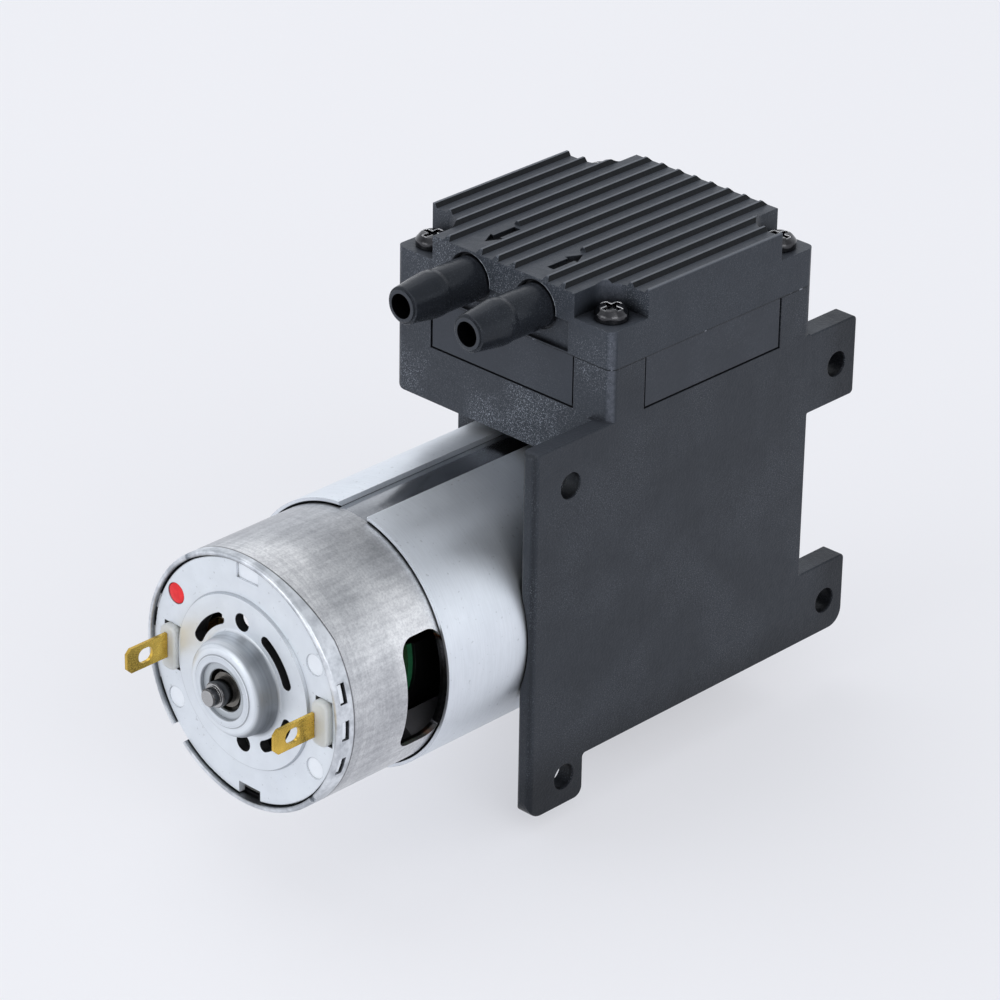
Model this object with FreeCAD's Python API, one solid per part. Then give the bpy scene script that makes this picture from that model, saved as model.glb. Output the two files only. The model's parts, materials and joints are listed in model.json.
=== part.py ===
import FreeCAD, Part
import math
import os
from FreeCAD import Vector

# Diaphragm vacuum pump with a 42 mm brushed direct-current motor.
# Frame: X = 0 is the mounting plate's face, with +X out of it. Y runs along the motor's axis, from
# its rear end to the pump, with 0 under the middle of the head. Z = 0 is the motor's axis, with +Z
# towards the cover. All lengths are in millimetres.

# Head: body top, middle plate and cover
head_width = 47.0
head_depth = 47.6
head_corner_r = 1.5
head_bottom_z = 23.5
lower_seam_z = 33.0
middle_plate_t = 8.9
cover_corner_t = 6.5
cover_land_t = 10.6
post_x = 7.9
post_y = 7.7
window_gap = 0.35
head_lower_r = 2.0
seam_groove = 0.3
seam_groove_depth = 0.5
middle_plate_inset = 0.1
notch_x = 8.15
notch_y = 8.2
notch_r = 4.5

# Ribs on the cover, and the flow arrows: one rib stops short behind each arrow
rib_pitch = 3.57
rib_height = 0.7
rib_width = 1.4
rib_crest = 0.5
rib_crest_r = 0.15
cover_edge_chamfer = 0.8
arrow_field_length = 12.6
arrow_from_rib = 0.8
arrow_inset = 4.3
arrow_length = 7.5
arrow_head_length = 2.8
arrow_head_half = 1.4
arrow_shaft_half = 0.7
arrow_depth = 0.6
ledge_drop = 5.1
ledge_depth = 0.8
ledge_height = 5.2
ledge_inset = 9.3

# Nozzles
nozzle_spacing = 14.3
nozzle_drop = 4.7
nozzle_length = 15.2
nozzle_tip_r = 2.7
nozzle_tip_step = 0.35
nozzle_shoulder_r = 3.1
nozzle_barb_r = 3.85
nozzle_root_r = 3.7
nozzle_cone = 6.0
nozzle_land = 1.0
nozzle_relief = 0.8
nozzle_bore_r = 2.05
nozzle_recess_r = 4.05
nozzle_recess_t = 1.0
nozzle_recess_edge = 0.3
nozzle_root_depth = 2.5
cavity_width = 11.2
cavity_front_wall = 6.8
cavity_back_y = 7.5
cavity_roof_t = 2.5
gasket_t = 1.0
gasket_rim = 2.25
gasket_front_wall = 3.3
gasket_back_y = 10.5

# Mounting plate, foot and lugs
flange_t = 3.0
lug_t = 4.0
lug_hole_below = 5.8
lug_hole_above = 7.2
foot_hole_below = 5.1
flange_reach = 16.6
foot_width = 12.4
lug_reach = 11.45
upper_lug_z0 = 18.7
upper_lug_z1 = 32.7
edge_r = 1.0
plate_edge_r = 0.3
foot_corner_r = 3.0
foot_inner_r = 1.8
foot_step_r = 0.6
lower_lug_r = 3.0
lug_corner_r = 0.8
lug_root_r = 0.2
plate_top_r = 1.0
hole_r = 2.25
hole_inset = 8.0
lug_hole_inset = 4.65
upper_holes_z = 25.4
motor_side_hole_span_z = 51.8
lug_hole_span_z = 43.6

# Crankcase
crankcase_width = 41.3
crankcase_bottom_z = -21.0
crankcase_wall = 2.5
crankcase_corner_r = 12.0
front_wall_t = 3.0
back_cover_t = 2.5
motor_front_y = -15.0
cylinder_r = 16.0
chamber_lip = 0.4
chamber_taper = 2.6
flap_room = 0.6
cover_boss_r = 2.9
cover_boss_length = 7.0
hole_bottom_gap = 1.0

# Motor
motor_r = 21.45
motor_length = 65.2
can_wall = 1.4
rim_wall = 0.9
rim_gap = 0.25
front_boss_r = 8.75
front_boss_length = 4.8
front_boss_wall = 1.2
bush_seat_depth = 1.0
shaft_play = 0.6
flux_ring_t = 0.9
flux_ring_rear = 22.7
flux_ring_front_gap = 1.5
flux_ring_bevel = 0.35
flux_ring_bevel_length = 0.6
flux_ring_gap_deg = 16.0
flux_ring_gap_at_deg = 87.0
ring_relief = 0.3
window_length = 8.4
window_rear = 14.6
window_corner_r = 2.6
window_from_deg = -28.0
window_to_deg = 25.0
rim_slots_deg = (15.5, -1.0, -19.0)
rim_slot_half_deg = 4.5
rim_slot_rear = 0.75
rim_slot_length = 1.45
rim_notch_deg = 225.5
rim_notch_half_deg = 4.5
rim_notch_depth = 2.0
rim_crimps_deg = (124.0, -42.0)
rim_crimp_half_deg = 1.6
rim_crimp_depth = 0.5
end_cap_recess = 0.65
end_cap_t = 1.2
rim_tab_half_deg = 4.0
rim_tab_root = 0.6
rim_tab_under = 0.3
rim_tab_step = 0.15
lanced_x0 = 1.4
lanced_x1 = 3.3
lanced_z = 18.2
lanced_depth = 0.35
lanced_inset = 0.6
end_cap_step_r = 14.4
end_cap_step = 0.5
end_cap_step_slope = 0.15
rear_boss_r = 8.4
rear_boss_top_r = 7.8
rear_boss_shoulder_r = 1.8
rear_boss_face_r = 5.9
rear_boss_rim = 0.2
rear_boss_height = 4.25
rear_boss_dish_r = 4.7
rear_boss_dish = 0.6
rear_boss_lip = 0.5
rear_opening_r = 3.5
end_vent_r = 10.5
end_vent_width = 1.9
end_vent_hole_r = 1.5
end_vents_deg = ((117.0, 155.0), (19.5, 59.3), (-62.5, -19.5), (-155.0, -117.0))
end_vent_holes_deg = (89.0, -89.0)
dimple_at_r = 17.9
dimple_r = 1.8
dimples_deg = (30.0, 148.0, -30.0, -150.0)
dimple_depth = 0.25
motor_screw_pcd = 29.0
motor_screw_r = 2.0
motor_screw_head_r = 3.5
motor_screw_head_t = 2.3
motor_screw_length = 5.2

# Inside the motor
magnet_t = 4.2
magnet_length = 36.0
magnet_half_deg = 58.0
magnet_overhang = 3.0
armature_r = 14.5
armature_length = 30.0
armature_front = 12.0
pole_count = 5
slot_at_r = 9.2
slot_r = 3.3
slot_mouth = 2.0
insulator_t = 1.0
insulator_r = 13.9
insulator_bore_play = 1.0
end_turn_r = 12.3
end_turn_inner_r = 6.0
end_turn_t = 4.6
bundle_play = 0.3
commutator_r = 5.0
commutator_length = 7.0
commutator_gap = 1.6
riser_height = 1.2
riser_t = 1.2
segment_gap = 0.4
segment_gap_depth = 0.8
brush_size = 4.2
brush_width = 4.0
brush_blank_x = 2.0
brush_arm_bend_r = 0.8
brush_arm_t = 0.4
brush_arm_width = 3.0
brush_plate_t = 2.0
brush_plate_bore_r = 12.2
brush_plate_play = 0.4
carrier_right_x = 15.8
carrier_left_x = 14.4
carrier_width = 3.5
carrier_corner_r = 1.4
carrier_height = 7.7
carrier_proud = 1.2
carrier_edge_r = 0.5
carrier_root = 0.5
terminal_x = 16.4
terminal_offset_z = 0.45
terminal_t = 0.6
terminal_height = 4.2
terminal_reach = 9.5
terminal_tail = 5.0
terminal_corner = 0.8
terminal_hole_from_tip = 2.3
terminal_hole_length = 3.0
terminal_hole_height = 2.5

# Shaft and bearings
shaft_r = 2.5
journal_r = 2.1
stub_r = 1.5
shaft_front_y = 2.8
stub_reach = 7.1
stub_length = 1.4
rear_bearing_r = 4.5
rear_bearing_t = 3.5
rear_ball_count = 8
race_t = 0.75
front_bush_r = 5.5
front_bush_t = 5.0

# Crank, rod and diaphragm
eccentricity = 2.0
hub_r = 8.0
hub_rear_y = -9.0
hub_web_y = -2.6
weight_r = 12.5
weight_t = 3.8
eccentric_r = 6.0
eccentric_end_y = 3.0
shoulder_t = 0.6
shoulder_r = 6.9
crank_bearing_r = 9.0
crank_bearing_t = 4.0
crank_race_t = 1.0
crank_ball_count = 12
circlip_t = 0.5
circlip_r = 7.1
circlip_depth = 0.5
circlip_mouth = 6.0
set_screw_r = 1.5
set_screw_length = 4.5
set_screw_socket_r = 0.8
set_screw_socket_depth = 1.5
rod_ring_r = 11.2
rod_t = 4.2
rod_shank_x = 8.0
rod_foot_x = 12.8
rod_foot_sink = 3.0
rod_foot_rise = 4.0
neck_low_r = 3.2
neck_r = 4.2
neck_flare_r = 3.0
piston_r = 10.0
piston_t = 3.0
piston_flare = 2.0
piston_bevel = 1.4
neck_over_weight = 2.0
diaphragm_r = 19.95
diaphragm_t = 2.0
rim_seat = 0.3
diaphragm_web_t = 1.0
seat_lip = 0.6
roll_x = 2.0
roll_rise = 0.2
roll_r = 1.2
clamp_plate_r = 9.5
clamp_plate_t = 1.6
clamp_screw_r = 2.0
clamp_screw_head_r = 3.6
clamp_screw_length = 12.0
clamp_screw_sink = 0.05
clamp_recess_size = 3.4
clamp_recess_width = 0.8
clamp_recess_depth = 1.2
chamber_roof_gap = 0.4

# Valves
port_r = 1.75
flap_width = 8.0
flap_length = 9.2
flap_t = 0.75
bead_r = 0.75
retainer_width = 10.0
retainer_t = 2.4
retainer_wall = 0.5
pocket_depth = 2.4
flap_y = 4.6

# Fasteners
cover_screw_r = 1.5
cover_screw_head_r = 2.75
cover_screw_head_t = 2.1
cover_screw_length = 20.0
cover_screw_inset = 4.1
recess_size = 3.7
recess_width = 1.0
recess_depth = 1.2
head_side = 0.55
head_flat = 0.72
y_recess_depth = 0.6
y_recess_size = 1.1
y_recess_width = 0.28
back_screw_r = 1.25
back_screw_head_r = 2.4
back_screw_head_t = 1.5
back_screw_length = 7.0
back_screw_in = 2.1
back_screw_from_plate = 2.6
back_screw_under = 3.2

# Clearances
fit_gap = 0.02
running_gap = 0.03
pivot_gap = 0.05
loose_gap = 0.15
screw_gap = 0.15

# Places that follow from the sizes above
axis_x = -head_width / 2
half_depth = head_depth / 2
upper_seam_z = lower_seam_z + middle_plate_t
screw_seat_z = upper_seam_z + cover_corner_t
cover_land_z = upper_seam_z + cover_land_t
cover_crest_z = cover_land_z + rib_height
nozzle_z = cover_land_z - nozzle_drop
nozzle_tip_y = -half_depth - nozzle_length
inlet_x = axis_x + nozzle_spacing / 2
outlet_x = axis_x - nozzle_spacing / 2
cavity_front_y = -half_depth + cavity_front_wall
gasket_x0 = outlet_x - cavity_width / 2 - gasket_rim
gasket_x1 = inlet_x + cavity_width / 2 + gasket_rim
cavity_roof_z = cover_land_z - cavity_roof_t
flange_y0 = -half_depth - flange_reach
foot_y1 = flange_y0 + foot_width
lug_y1 = half_depth + lug_reach
motor_holes_y = flange_y0 + hole_inset
lug_holes_y = lug_y1 - lug_hole_inset
lower_lug_hole_z = upper_holes_z - lug_hole_span_z
plate_bottom_z = lower_lug_hole_z - lug_hole_below
lower_lug_z1 = lower_lug_hole_z + lug_hole_above
foot_bottom_z = upper_holes_z - motor_side_hole_span_z - foot_hole_below
motor_rear_y = motor_front_y - motor_length
can_inner_r = motor_r - can_wall
flux_ring_r = motor_r + flux_ring_t
rim_inner_r = motor_r - rim_wall
cap_face_y = motor_rear_y + end_cap_recess
cap_inner_y = cap_face_y + end_cap_t
cap_step_y = cap_face_y - end_cap_step
boss_face_y = cap_step_y - rear_boss_height
bearing_rear_y = boss_face_y + rear_boss_dish + rear_boss_lip
crankcase_x0 = -crankcase_width
cavity_x0 = crankcase_x0 + crankcase_wall
cavity_x1 = -lug_t
cavity_y0 = motor_front_y + front_wall_t
back_cover_y = half_depth - back_cover_t
cavity_bottom_z = crankcase_bottom_z + crankcase_wall
crank_z = -eccentricity
diaphragm_mid_z = lower_seam_z
disc_top_z = diaphragm_mid_z + diaphragm_t / 2 - eccentricity
disc_bottom_z = disc_top_z - diaphragm_t
rim_bottom_z = lower_seam_z - diaphragm_t / 2
rim_top_z = rim_bottom_z + diaphragm_t
chamber_roof_z = disc_top_z + clamp_plate_t + 2 * eccentricity + chamber_roof_gap
inlet_seat_z = chamber_roof_z + pocket_depth
armature_y1 = cavity_y0 - armature_front - front_wall_t
armature_y0 = armature_y1 - armature_length
commutator_y1 = armature_y0 - insulator_t - end_turn_t - commutator_gap
commutator_y0 = commutator_y1 - commutator_length


def box(x0, x1, y0, y1, z0, z1):
    return Part.makeBox(x1 - x0, y1 - y0, z1 - z0, Vector(x0, y0, z0))


def rod_y(r, y0, y1, x=axis_x, z=0.0):
    return Part.makeCylinder(r, y1 - y0, Vector(x, y0, z), Vector(0, 1, 0))


def rod_z(r, z0, z1, x, y):
    return Part.makeCylinder(r, z1 - z0, Vector(x, y, z0), Vector(0, 0, 1))


def rod_x(r, x0, x1, y, z):
    return Part.makeCylinder(r, x1 - x0, Vector(x0, y, z), Vector(1, 0, 0))


def ring_y(r_in, r_out, y0, y1, x=axis_x, z=0.0):
    return rod_y(r_out, y0, y1, x, z).cut(rod_y(r_in, y0 - 1, y1 + 1, x, z))


def fuse(shapes):
    solid = shapes[0]
    if len(shapes) > 1:
        solid = solid.fuse(shapes[1:])
    return solid.removeSplitter()


def cut(solid, tools):
    return solid.cut(tools).removeSplitter()


def at_angle(r, deg):
    """A point in the motor's cross-section, as x and z, from its radius and angle."""
    a = math.radians(deg)
    return axis_x + r * math.cos(a), r * math.sin(a)


def outline(points, place):
    """A closed wire through corners given as (u, v, corner radius), with arcs at round corners."""
    edges = []
    starts, ends, middles = [], [], []
    count = len(points)
    for i in range(count):
        u, v, r = points[i]
        pu, pv, _ = points[i - 1]
        nu, nv, _ = points[(i + 1) % count]
        a = Vector(pu - u, pv - v, 0).normalize()
        b = Vector(nu - u, nv - v, 0).normalize()
        corner = Vector(u, v, 0)
        half = a.getAngle(b) / 2
        if r == 0:
            starts.append(corner)
            ends.append(corner)
            middles.append(None)
            continue
        back = r / math.tan(half)
        bisector = Vector(a.x + b.x, a.y + b.y, 0).normalize()
        starts.append(corner + a * back)
        ends.append(corner + b * back)
        middles.append(corner + bisector * (r / math.sin(half) - r))
    for i in range(count):
        if middles[i] is not None:
            edges.append(Part.Arc(place(starts[i]), place(middles[i]), place(ends[i])).toShape())
        following = starts[(i + 1) % count]
        if (following - ends[i]).Length > 1e-6:
            edges.append(Part.LineSegment(place(ends[i]), place(following)).toShape())
    return Part.Face(Part.Wire(edges))


def prism_xy(points, z0, z1):
    face = outline(points, lambda p: Vector(p.x, p.y, z0))
    return face.extrude(Vector(0, 0, z1 - z0))


def prism_xz(points, y0, y1):
    face = outline(points, lambda p: Vector(p.x, y0, p.y))
    return face.extrude(Vector(0, y1 - y0, 0))


def prism_yz(points, x0, x1):
    face = outline(points, lambda p: Vector(x0, p.x, p.y))
    return face.extrude(Vector(x1 - x0, 0, 0))


def turned_y(points, x=axis_x, z=0.0):
    """A solid of revolution about a line along Y, from corners given as (radius, y, corner radius)."""
    face = outline(points, lambda p: Vector(x + p.x, p.y, z))
    return face.revolve(Vector(x, 0, z), Vector(0, 1, 0), 360)


def turned_z(points, x, y):
    """A solid of revolution about a line along Z, from corners given as (radius, z, corner radius)."""
    face = outline(points, lambda p: Vector(x + p.x, y, p.y))
    return face.revolve(Vector(x, y, 0), Vector(0, 0, 1), 360)


def sector_y(r_in, r_out, from_deg, to_deg, y0, y1):
    """Part of a ring about the motor's axis, between two angles."""
    mid = (from_deg + to_deg) / 2
    corners = [at_angle(r_out, from_deg), at_angle(r_out, mid), at_angle(r_out, to_deg)]
    inner = [at_angle(r_in, to_deg), at_angle(r_in, mid), at_angle(r_in, from_deg)]
    p = [Vector(x, y0, z) for x, z in corners + inner]
    edges = [
        Part.Arc(p[0], p[1], p[2]).toShape(),
        Part.LineSegment(p[2], p[3]).toShape(),
        Part.Arc(p[3], p[4], p[5]).toShape(),
        Part.LineSegment(p[5], p[0]).toShape(),
    ]
    return Part.Face(Part.Wire(edges)).extrude(Vector(0, y1 - y0, 0))


def head_block(z0, z1, inset=0.0):
    """The head's square section with rounded upright corners, between two heights."""
    x0, x1 = -head_width + inset, -inset
    y0, y1 = -half_depth + inset, half_depth - inset
    r = head_corner_r
    return prism_xy([(x0, y0, r), (x1, y0, r), (x1, y1, r), (x0, y1, r)], z0, z1)


def head_corners():
    """The four corners of the head, as x, y and the directions that point to its middle."""
    return [(x, y, sx, sy) for x, sx in ((-head_width, 1), (0.0, -1))
            for y, sy in ((-half_depth, 1), (half_depth, -1))]


def corner_boxes(size_x, size_y, z0, z1):
    boxes = []
    for x, y, sx, sy in head_corners():
        xs = sorted((x, x + sx * size_x))
        ys = sorted((y, y + sy * size_y))
        boxes.append(box(xs[0], xs[1], ys[0], ys[1], z0, z1))
    return boxes


def cover_screw_places():
    return [(x + sx * cover_screw_inset, y + sy * cover_screw_inset) for x, y, sx, sy in head_corners()]


def back_screw_places():
    """Where the crankcase cover's screws go: beside the walls, and inside the rounded lower corner."""
    low, high = cavity_bottom_z + back_screw_in, head_bottom_z - back_screw_under
    left, right = cavity_x0 + back_screw_in, cavity_x1 - back_screw_from_plate
    inner_r = crankcase_corner_r - crankcase_wall
    bend = inner_r - (inner_r - back_screw_in) * math.sqrt(0.5)
    return [(left, high), (right, high), (cavity_x0 + bend, cavity_bottom_z + bend), (right, low)]


def motor_screw_places():
    return [at_angle(motor_screw_pcd / 2, deg) for deg in (90, -90)]


def crankcase_section(x0, x1, z0, z1, r):
    return [(x0, z0, r), (x1, z0, 0), (x1, z1, 0), (x0, z1, 0)]


def plate_outline():
    """The mounting plate seen from +X: flange and foot beside the motor, lugs beyond the head."""
    return [
        (flange_y0, foot_bottom_z, foot_corner_r),
        (foot_y1, foot_bottom_z, foot_inner_r),
        (foot_y1, plate_bottom_z, foot_step_r),
        (lug_y1, plate_bottom_z, lower_lug_r),
        (lug_y1, lower_lug_z1, lug_corner_r),
        (half_depth, lower_lug_z1, lug_root_r),
        (half_depth, upper_lug_z0, lug_root_r),
        (lug_y1, upper_lug_z0, lug_corner_r),
        (lug_y1, upper_lug_z1, lug_corner_r),
        (half_depth, upper_lug_z1, 0),
        (half_depth, lower_seam_z, 0),
        (flange_y0, lower_seam_z, plate_top_r),
    ]


def mounting_plate():
    """The plate with rounded edges on its outer face, thinner beside the motor than at the lugs."""
    plate = prism_yz(plate_outline(), -lug_t, 0.0)
    outer = [e for e in plate.Edges
             if e.BoundBox.XMin > -0.01 and e.BoundBox.ZMax < lower_seam_z - plate_edge_r - 0.5]
    plate = plate.makeFillet(plate_edge_r, outer)
    far = lug_y1 + 1
    section = [(-flange_t, flange_y0, edge_r), (0.0, flange_y0, edge_r), (0.0, far, 0), (-lug_t, far, 0),
               (-lug_t, -half_depth - 1.0, 0), (-flange_t, -half_depth - 1.0, 0)]
    return plate.common(prism_xy(section, foot_bottom_z - 1, lower_seam_z + 1))


def mount_holes():
    """The four holes through the plate, two beside the motor and two in the lugs."""
    holes = []
    for y, span in ((motor_holes_y, motor_side_hole_span_z), (lug_holes_y, lug_hole_span_z)):
        for z in (upper_holes_z, upper_holes_z - span):
            holes.append(rod_x(hole_r, -lug_t - 1, 1, y, z))
    return holes


def pump_body():
    """Crankcase, head base, corner posts and mounting plate, moulded in one piece."""
    outer = crankcase_section(crankcase_x0, 0.0, crankcase_bottom_z, head_bottom_z + 1, crankcase_corner_r)
    inner_r = crankcase_corner_r - crankcase_wall
    inner = crankcase_section(cavity_x0, cavity_x1, cavity_bottom_z, head_bottom_z, inner_r)
    case = prism_xz(outer, motor_front_y, back_cover_y)
    case = case.cut(prism_xz(inner, cavity_y0, back_cover_y + 1))
    bosses = [rod_y(cover_boss_r, back_cover_y - cover_boss_length, back_cover_y, x, z)
              for x, z in back_screw_places()]
    case = case.fuse(bosses).common(prism_xz(outer, motor_front_y, back_cover_y))
    posts = [head_block(lower_seam_z - 1, upper_seam_z).common(corner)
             for corner in corner_boxes(post_x, post_y, lower_seam_z - 1, upper_seam_z)]
    base = head_block(head_bottom_z, lower_seam_z).common(prism_xz(
        [(-head_width, head_bottom_z, head_lower_r), (0.0, head_bottom_z, 0), (0.0, lower_seam_z, 0),
         (-head_width, lower_seam_z, 0)], -half_depth, half_depth))
    body = fuse([base, case, mounting_plate()] + posts)
    tools = [
        rod_z(cylinder_r, head_bottom_z - 3, lower_seam_z + 1, axis_x, 0),
        rod_z(diaphragm_r + pivot_gap, rim_bottom_z, lower_seam_z + 1, axis_x, 0),
        rod_y(front_boss_r + loose_gap, motor_front_y - 1, cavity_y0 + 1),
        rod_y(flux_ring_r + ring_relief, flange_y0 - 1, motor_front_y),
    ]
    tools += [rod_y(motor_screw_r + screw_gap, motor_front_y - 1, cavity_y0 + 1, x, z)
              for x, z in motor_screw_places()]
    hole_floor = screw_seat_z - cover_screw_length - hole_bottom_gap
    tools += [rod_z(cover_screw_r + fit_gap, hole_floor, upper_seam_z + 1, x, y)
              for x, y in cover_screw_places()]
    hole_end = half_depth - back_screw_length - hole_bottom_gap
    tools += [rod_y(back_screw_r + fit_gap, hole_end, back_cover_y + 1, x, z)
              for x, z in back_screw_places()]
    return cut(body, tools + mount_holes())


def middle_plate():
    """Valve plate over the diaphragm: a cross that shows between the body's corner posts."""
    plate = head_block(lower_seam_z, upper_seam_z, inset=middle_plate_inset)
    kept = head_block(lower_seam_z - 2, lower_seam_z + 1, inset=middle_plate_inset + seam_groove_depth)
    tools = corner_boxes(post_x + window_gap, post_y + window_gap, lower_seam_z - 1, upper_seam_z + 1)
    tools.append(head_block(lower_seam_z - 1, lower_seam_z + seam_groove, inset=-1.0).cut(kept))
    tools.append(rod_z(diaphragm_r + pivot_gap, lower_seam_z - 1, rim_top_z, axis_x, 0))
    tools.append(turned_z([
        (0, rim_top_z - 1, 0), (cylinder_r, rim_top_z - 1, 0), (cylinder_r, rim_top_z + chamber_lip, 0),
        (cylinder_r - chamber_taper, chamber_roof_z, 1.0), (0, chamber_roof_z, 0)], axis_x, 0))
    half = retainer_width / 2 + fit_gap
    tools.append(box(inlet_x - half, inlet_x + half, flap_y - flap_length - flap_room,
                     flap_y + bead_r + retainer_wall + 2 * pivot_gap, chamber_roof_z - 1, inlet_seat_z))
    tools.append(rod_z(port_r, inlet_seat_z - 1, upper_seam_z + 1, inlet_x, 0))
    tools.append(rod_z(port_r, chamber_roof_z - 1, upper_seam_z + 1, outlet_x, 0))
    return cut(plate, tools)


def rib_places():
    """Each rib's x, from the side of the mounting plate to the far side."""
    count = int(head_width / rib_pitch) + 1
    first = axis_x + rib_pitch * (count - 1) / 2
    return [first - i * rib_pitch for i in range(count)]


def short_rib_x(x):
    """The rib that stops short for a nozzle's arrow: the nearest one on the nozzle's far side."""
    return min(rib_places(), key=lambda rib: abs(rib - (x - rib_pitch / 2)))


def cover_section():
    """The cover's section across its ribs: lands with low ridges, a part of a ridge at each side."""
    points = [(-head_width, upper_seam_z, 0), (0.0, upper_seam_z, 0)]
    for x in rib_places():
        ridge = [(rib_width / 2, 0.0), (rib_crest / 2, rib_height),
                 (-rib_crest / 2, rib_height), (-rib_width / 2, 0.0)]
        whole = -head_width < x - rib_width / 2 and x + rib_width / 2 < 0
        for dx, dz in ridge:
            if -head_width < x + dx < 0:
                points.append((x + dx, cover_land_z + dz, rib_crest_r if whole and dz > 0 else 0))
            elif x + dx >= 0 and dx <= rib_crest / 2:
                points.append((0.0, cover_land_z + dz, 0))
            elif x + dx <= -head_width and dz > 0:
                points.append((-head_width, cover_land_z + dz, 0))
    return points


def arrow(x, tip_y, tail_y):
    """A flow arrow's outline, from its tip to its tail, sunk into the cover."""
    s = 1 if tail_y > tip_y else -1
    neck = tip_y + s * arrow_head_length
    a, b = arrow_head_half, arrow_shaft_half
    points = [(x, tip_y), (x + a, neck), (x + b, neck), (x + b, tail_y),
              (x - b, tail_y), (x - b, neck), (x - a, neck)]
    return prism_xy([(px, py, 0) for px, py in points], cover_land_z - arrow_depth, cover_crest_z + 1)


def nozzle(x):
    """A hose nozzle that points to -Y: a lip, a cone, a short land at its widest and a plain root."""
    tip = nozzle_tip_y
    land = tip + nozzle_cone
    relief = land + nozzle_land
    root = -half_depth + nozzle_root_depth
    return turned_y([
        (0, tip, 0), (nozzle_tip_r, tip, 0.15), (nozzle_tip_r, tip + nozzle_tip_step, 0),
        (nozzle_shoulder_r, tip + nozzle_tip_step, 0.2), (nozzle_barb_r, land, 0), (nozzle_barb_r, relief, 0),
        (nozzle_root_r, relief + nozzle_relief, 0), (nozzle_root_r, root, 0), (0, root, 0)],
        x, nozzle_z)


def corner_notches():
    """Seats for the cover screws: each corner is cut down, with a round wall behind the screw."""
    notches = []
    for x, y, sx, sy in head_corners():
        points = [(x - sx, y - sy, 0), (x + sx * notch_x, y - sy, 0),
                  (x + sx * notch_x, y + sy * notch_y, notch_r), (x - sx, y + sy * notch_y, 0)]
        notches.append(prism_xy(points, screw_seat_z, cover_crest_z + 1))
    return notches


def head_cover():
    """Ribbed cover with both nozzles, the valve cavities and the seats for its screws."""
    front, back = -half_depth, half_depth
    block = prism_xz(cover_section(), front, back).common(head_block(upper_seam_z, cover_crest_z))
    half = rib_width / 2 + fit_gap
    fields = [box(short_rib_x(x) - half, short_rib_x(x) + half, front - 1, front + arrow_field_length,
                  cover_land_z, cover_crest_z + 1) for x in (inlet_x, outlet_x)]
    block = cut(block, fields + corner_notches())
    chamfers = []
    for y, s in ((front, 1), (back, -1)):
        c = cover_edge_chamfer
        z = cover_crest_z
        corners = [(y - s, z - c, 0), (y, z - c, 0), (y + s * c, z, 0), (y + s * c, z + 1, 0),
                   (y - s, z + 1, 0)]
        chamfers.append(prism_yz(corners, -head_width - 1, 1))
    ledge_z = cover_land_z - ledge_drop
    ledge = box(-head_width + ledge_inset, -ledge_inset, front - 1, front + ledge_depth,
                ledge_z - ledge_height, ledge_z)
    e = nozzle_recess_edge
    recesses = [turned_y([(0, front - 1, 0), (nozzle_recess_r + e, front - 1, 0),
                          (nozzle_recess_r + e, front, 0), (nozzle_recess_r, front + e, 0),
                          (nozzle_recess_r, front + nozzle_recess_t, 0), (0, front + nozzle_recess_t, 0)],
                         x, nozzle_z) for x in (inlet_x, outlet_x)]
    block = cut(block, chamfers + [ledge] + recesses)
    block = fuse([block, nozzle(inlet_x), nozzle(outlet_x)])
    near, far = front + arrow_inset, front + arrow_inset + arrow_length
    tools = [arrow(short_rib_x(outlet_x) + arrow_from_rib, near, far),
             arrow(short_rib_x(inlet_x) + arrow_from_rib, far, near)]
    half = cavity_width / 2
    for x in (inlet_x, outlet_x):
        tools.append(box(x - half, x + half, cavity_front_y, cavity_back_y, upper_seam_z - 1,
                         cavity_roof_z))
        tools.append(rod_y(nozzle_bore_r, nozzle_tip_y - 1, cavity_front_y + 1, x, nozzle_z))
    tools.append(box(gasket_x0 - pivot_gap, gasket_x1 + pivot_gap, front + gasket_front_wall - pivot_gap,
                     gasket_back_y + pivot_gap, upper_seam_z - 1, upper_seam_z + gasket_t))
    tools += [rod_z(cover_screw_r + screw_gap, upper_seam_z - 1, screw_seat_z + 1, x, y)
              for x, y in cover_screw_places()]
    return cut(block, tools)


def cover_gasket():
    """Flat rubber seal between the middle plate and the cover, open round both valve cavities."""
    x0, x1 = gasket_x0, gasket_x1
    front = -half_depth + gasket_front_wall
    seal = prism_xy([(x0, front, 2), (x1, front, 2), (x1, gasket_back_y, 2), (x0, gasket_back_y, 2)],
                    upper_seam_z, upper_seam_z + gasket_t)
    half = cavity_width / 2
    return cut(seal, [box(x - half, x + half, cavity_front_y, cavity_back_y, upper_seam_z - 1,
                          upper_seam_z + 3) for x in (inlet_x, outlet_x)])


def pan_screw_z(x, y, seat_z, r, length, head_r, head_t):
    """A pan-head screw with a cross recess, its head up."""
    top = seat_z + head_t
    body = turned_z([(0, seat_z - length, 0), (r, seat_z - length, 0.4), (r, seat_z, 0),
                     (head_r, seat_z, 0.2), (head_r, seat_z + head_t * head_side, 0.6),
                     (head_r * head_flat, top, 0.5), (0, top, 0)], x, y)
    arms = []
    for w, d in ((recess_size, recess_width), (recess_width, recess_size)):
        arms.append(box(x - w / 2, x + w / 2, y - d / 2, y + d / 2, top - recess_depth, top + 1))
    return body.cut(arms)


def cover_screws():
    return [pan_screw_z(x, y, screw_seat_z, cover_screw_r, cover_screw_length, cover_screw_head_r,
                        cover_screw_head_t) for x, y in cover_screw_places()]


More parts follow.
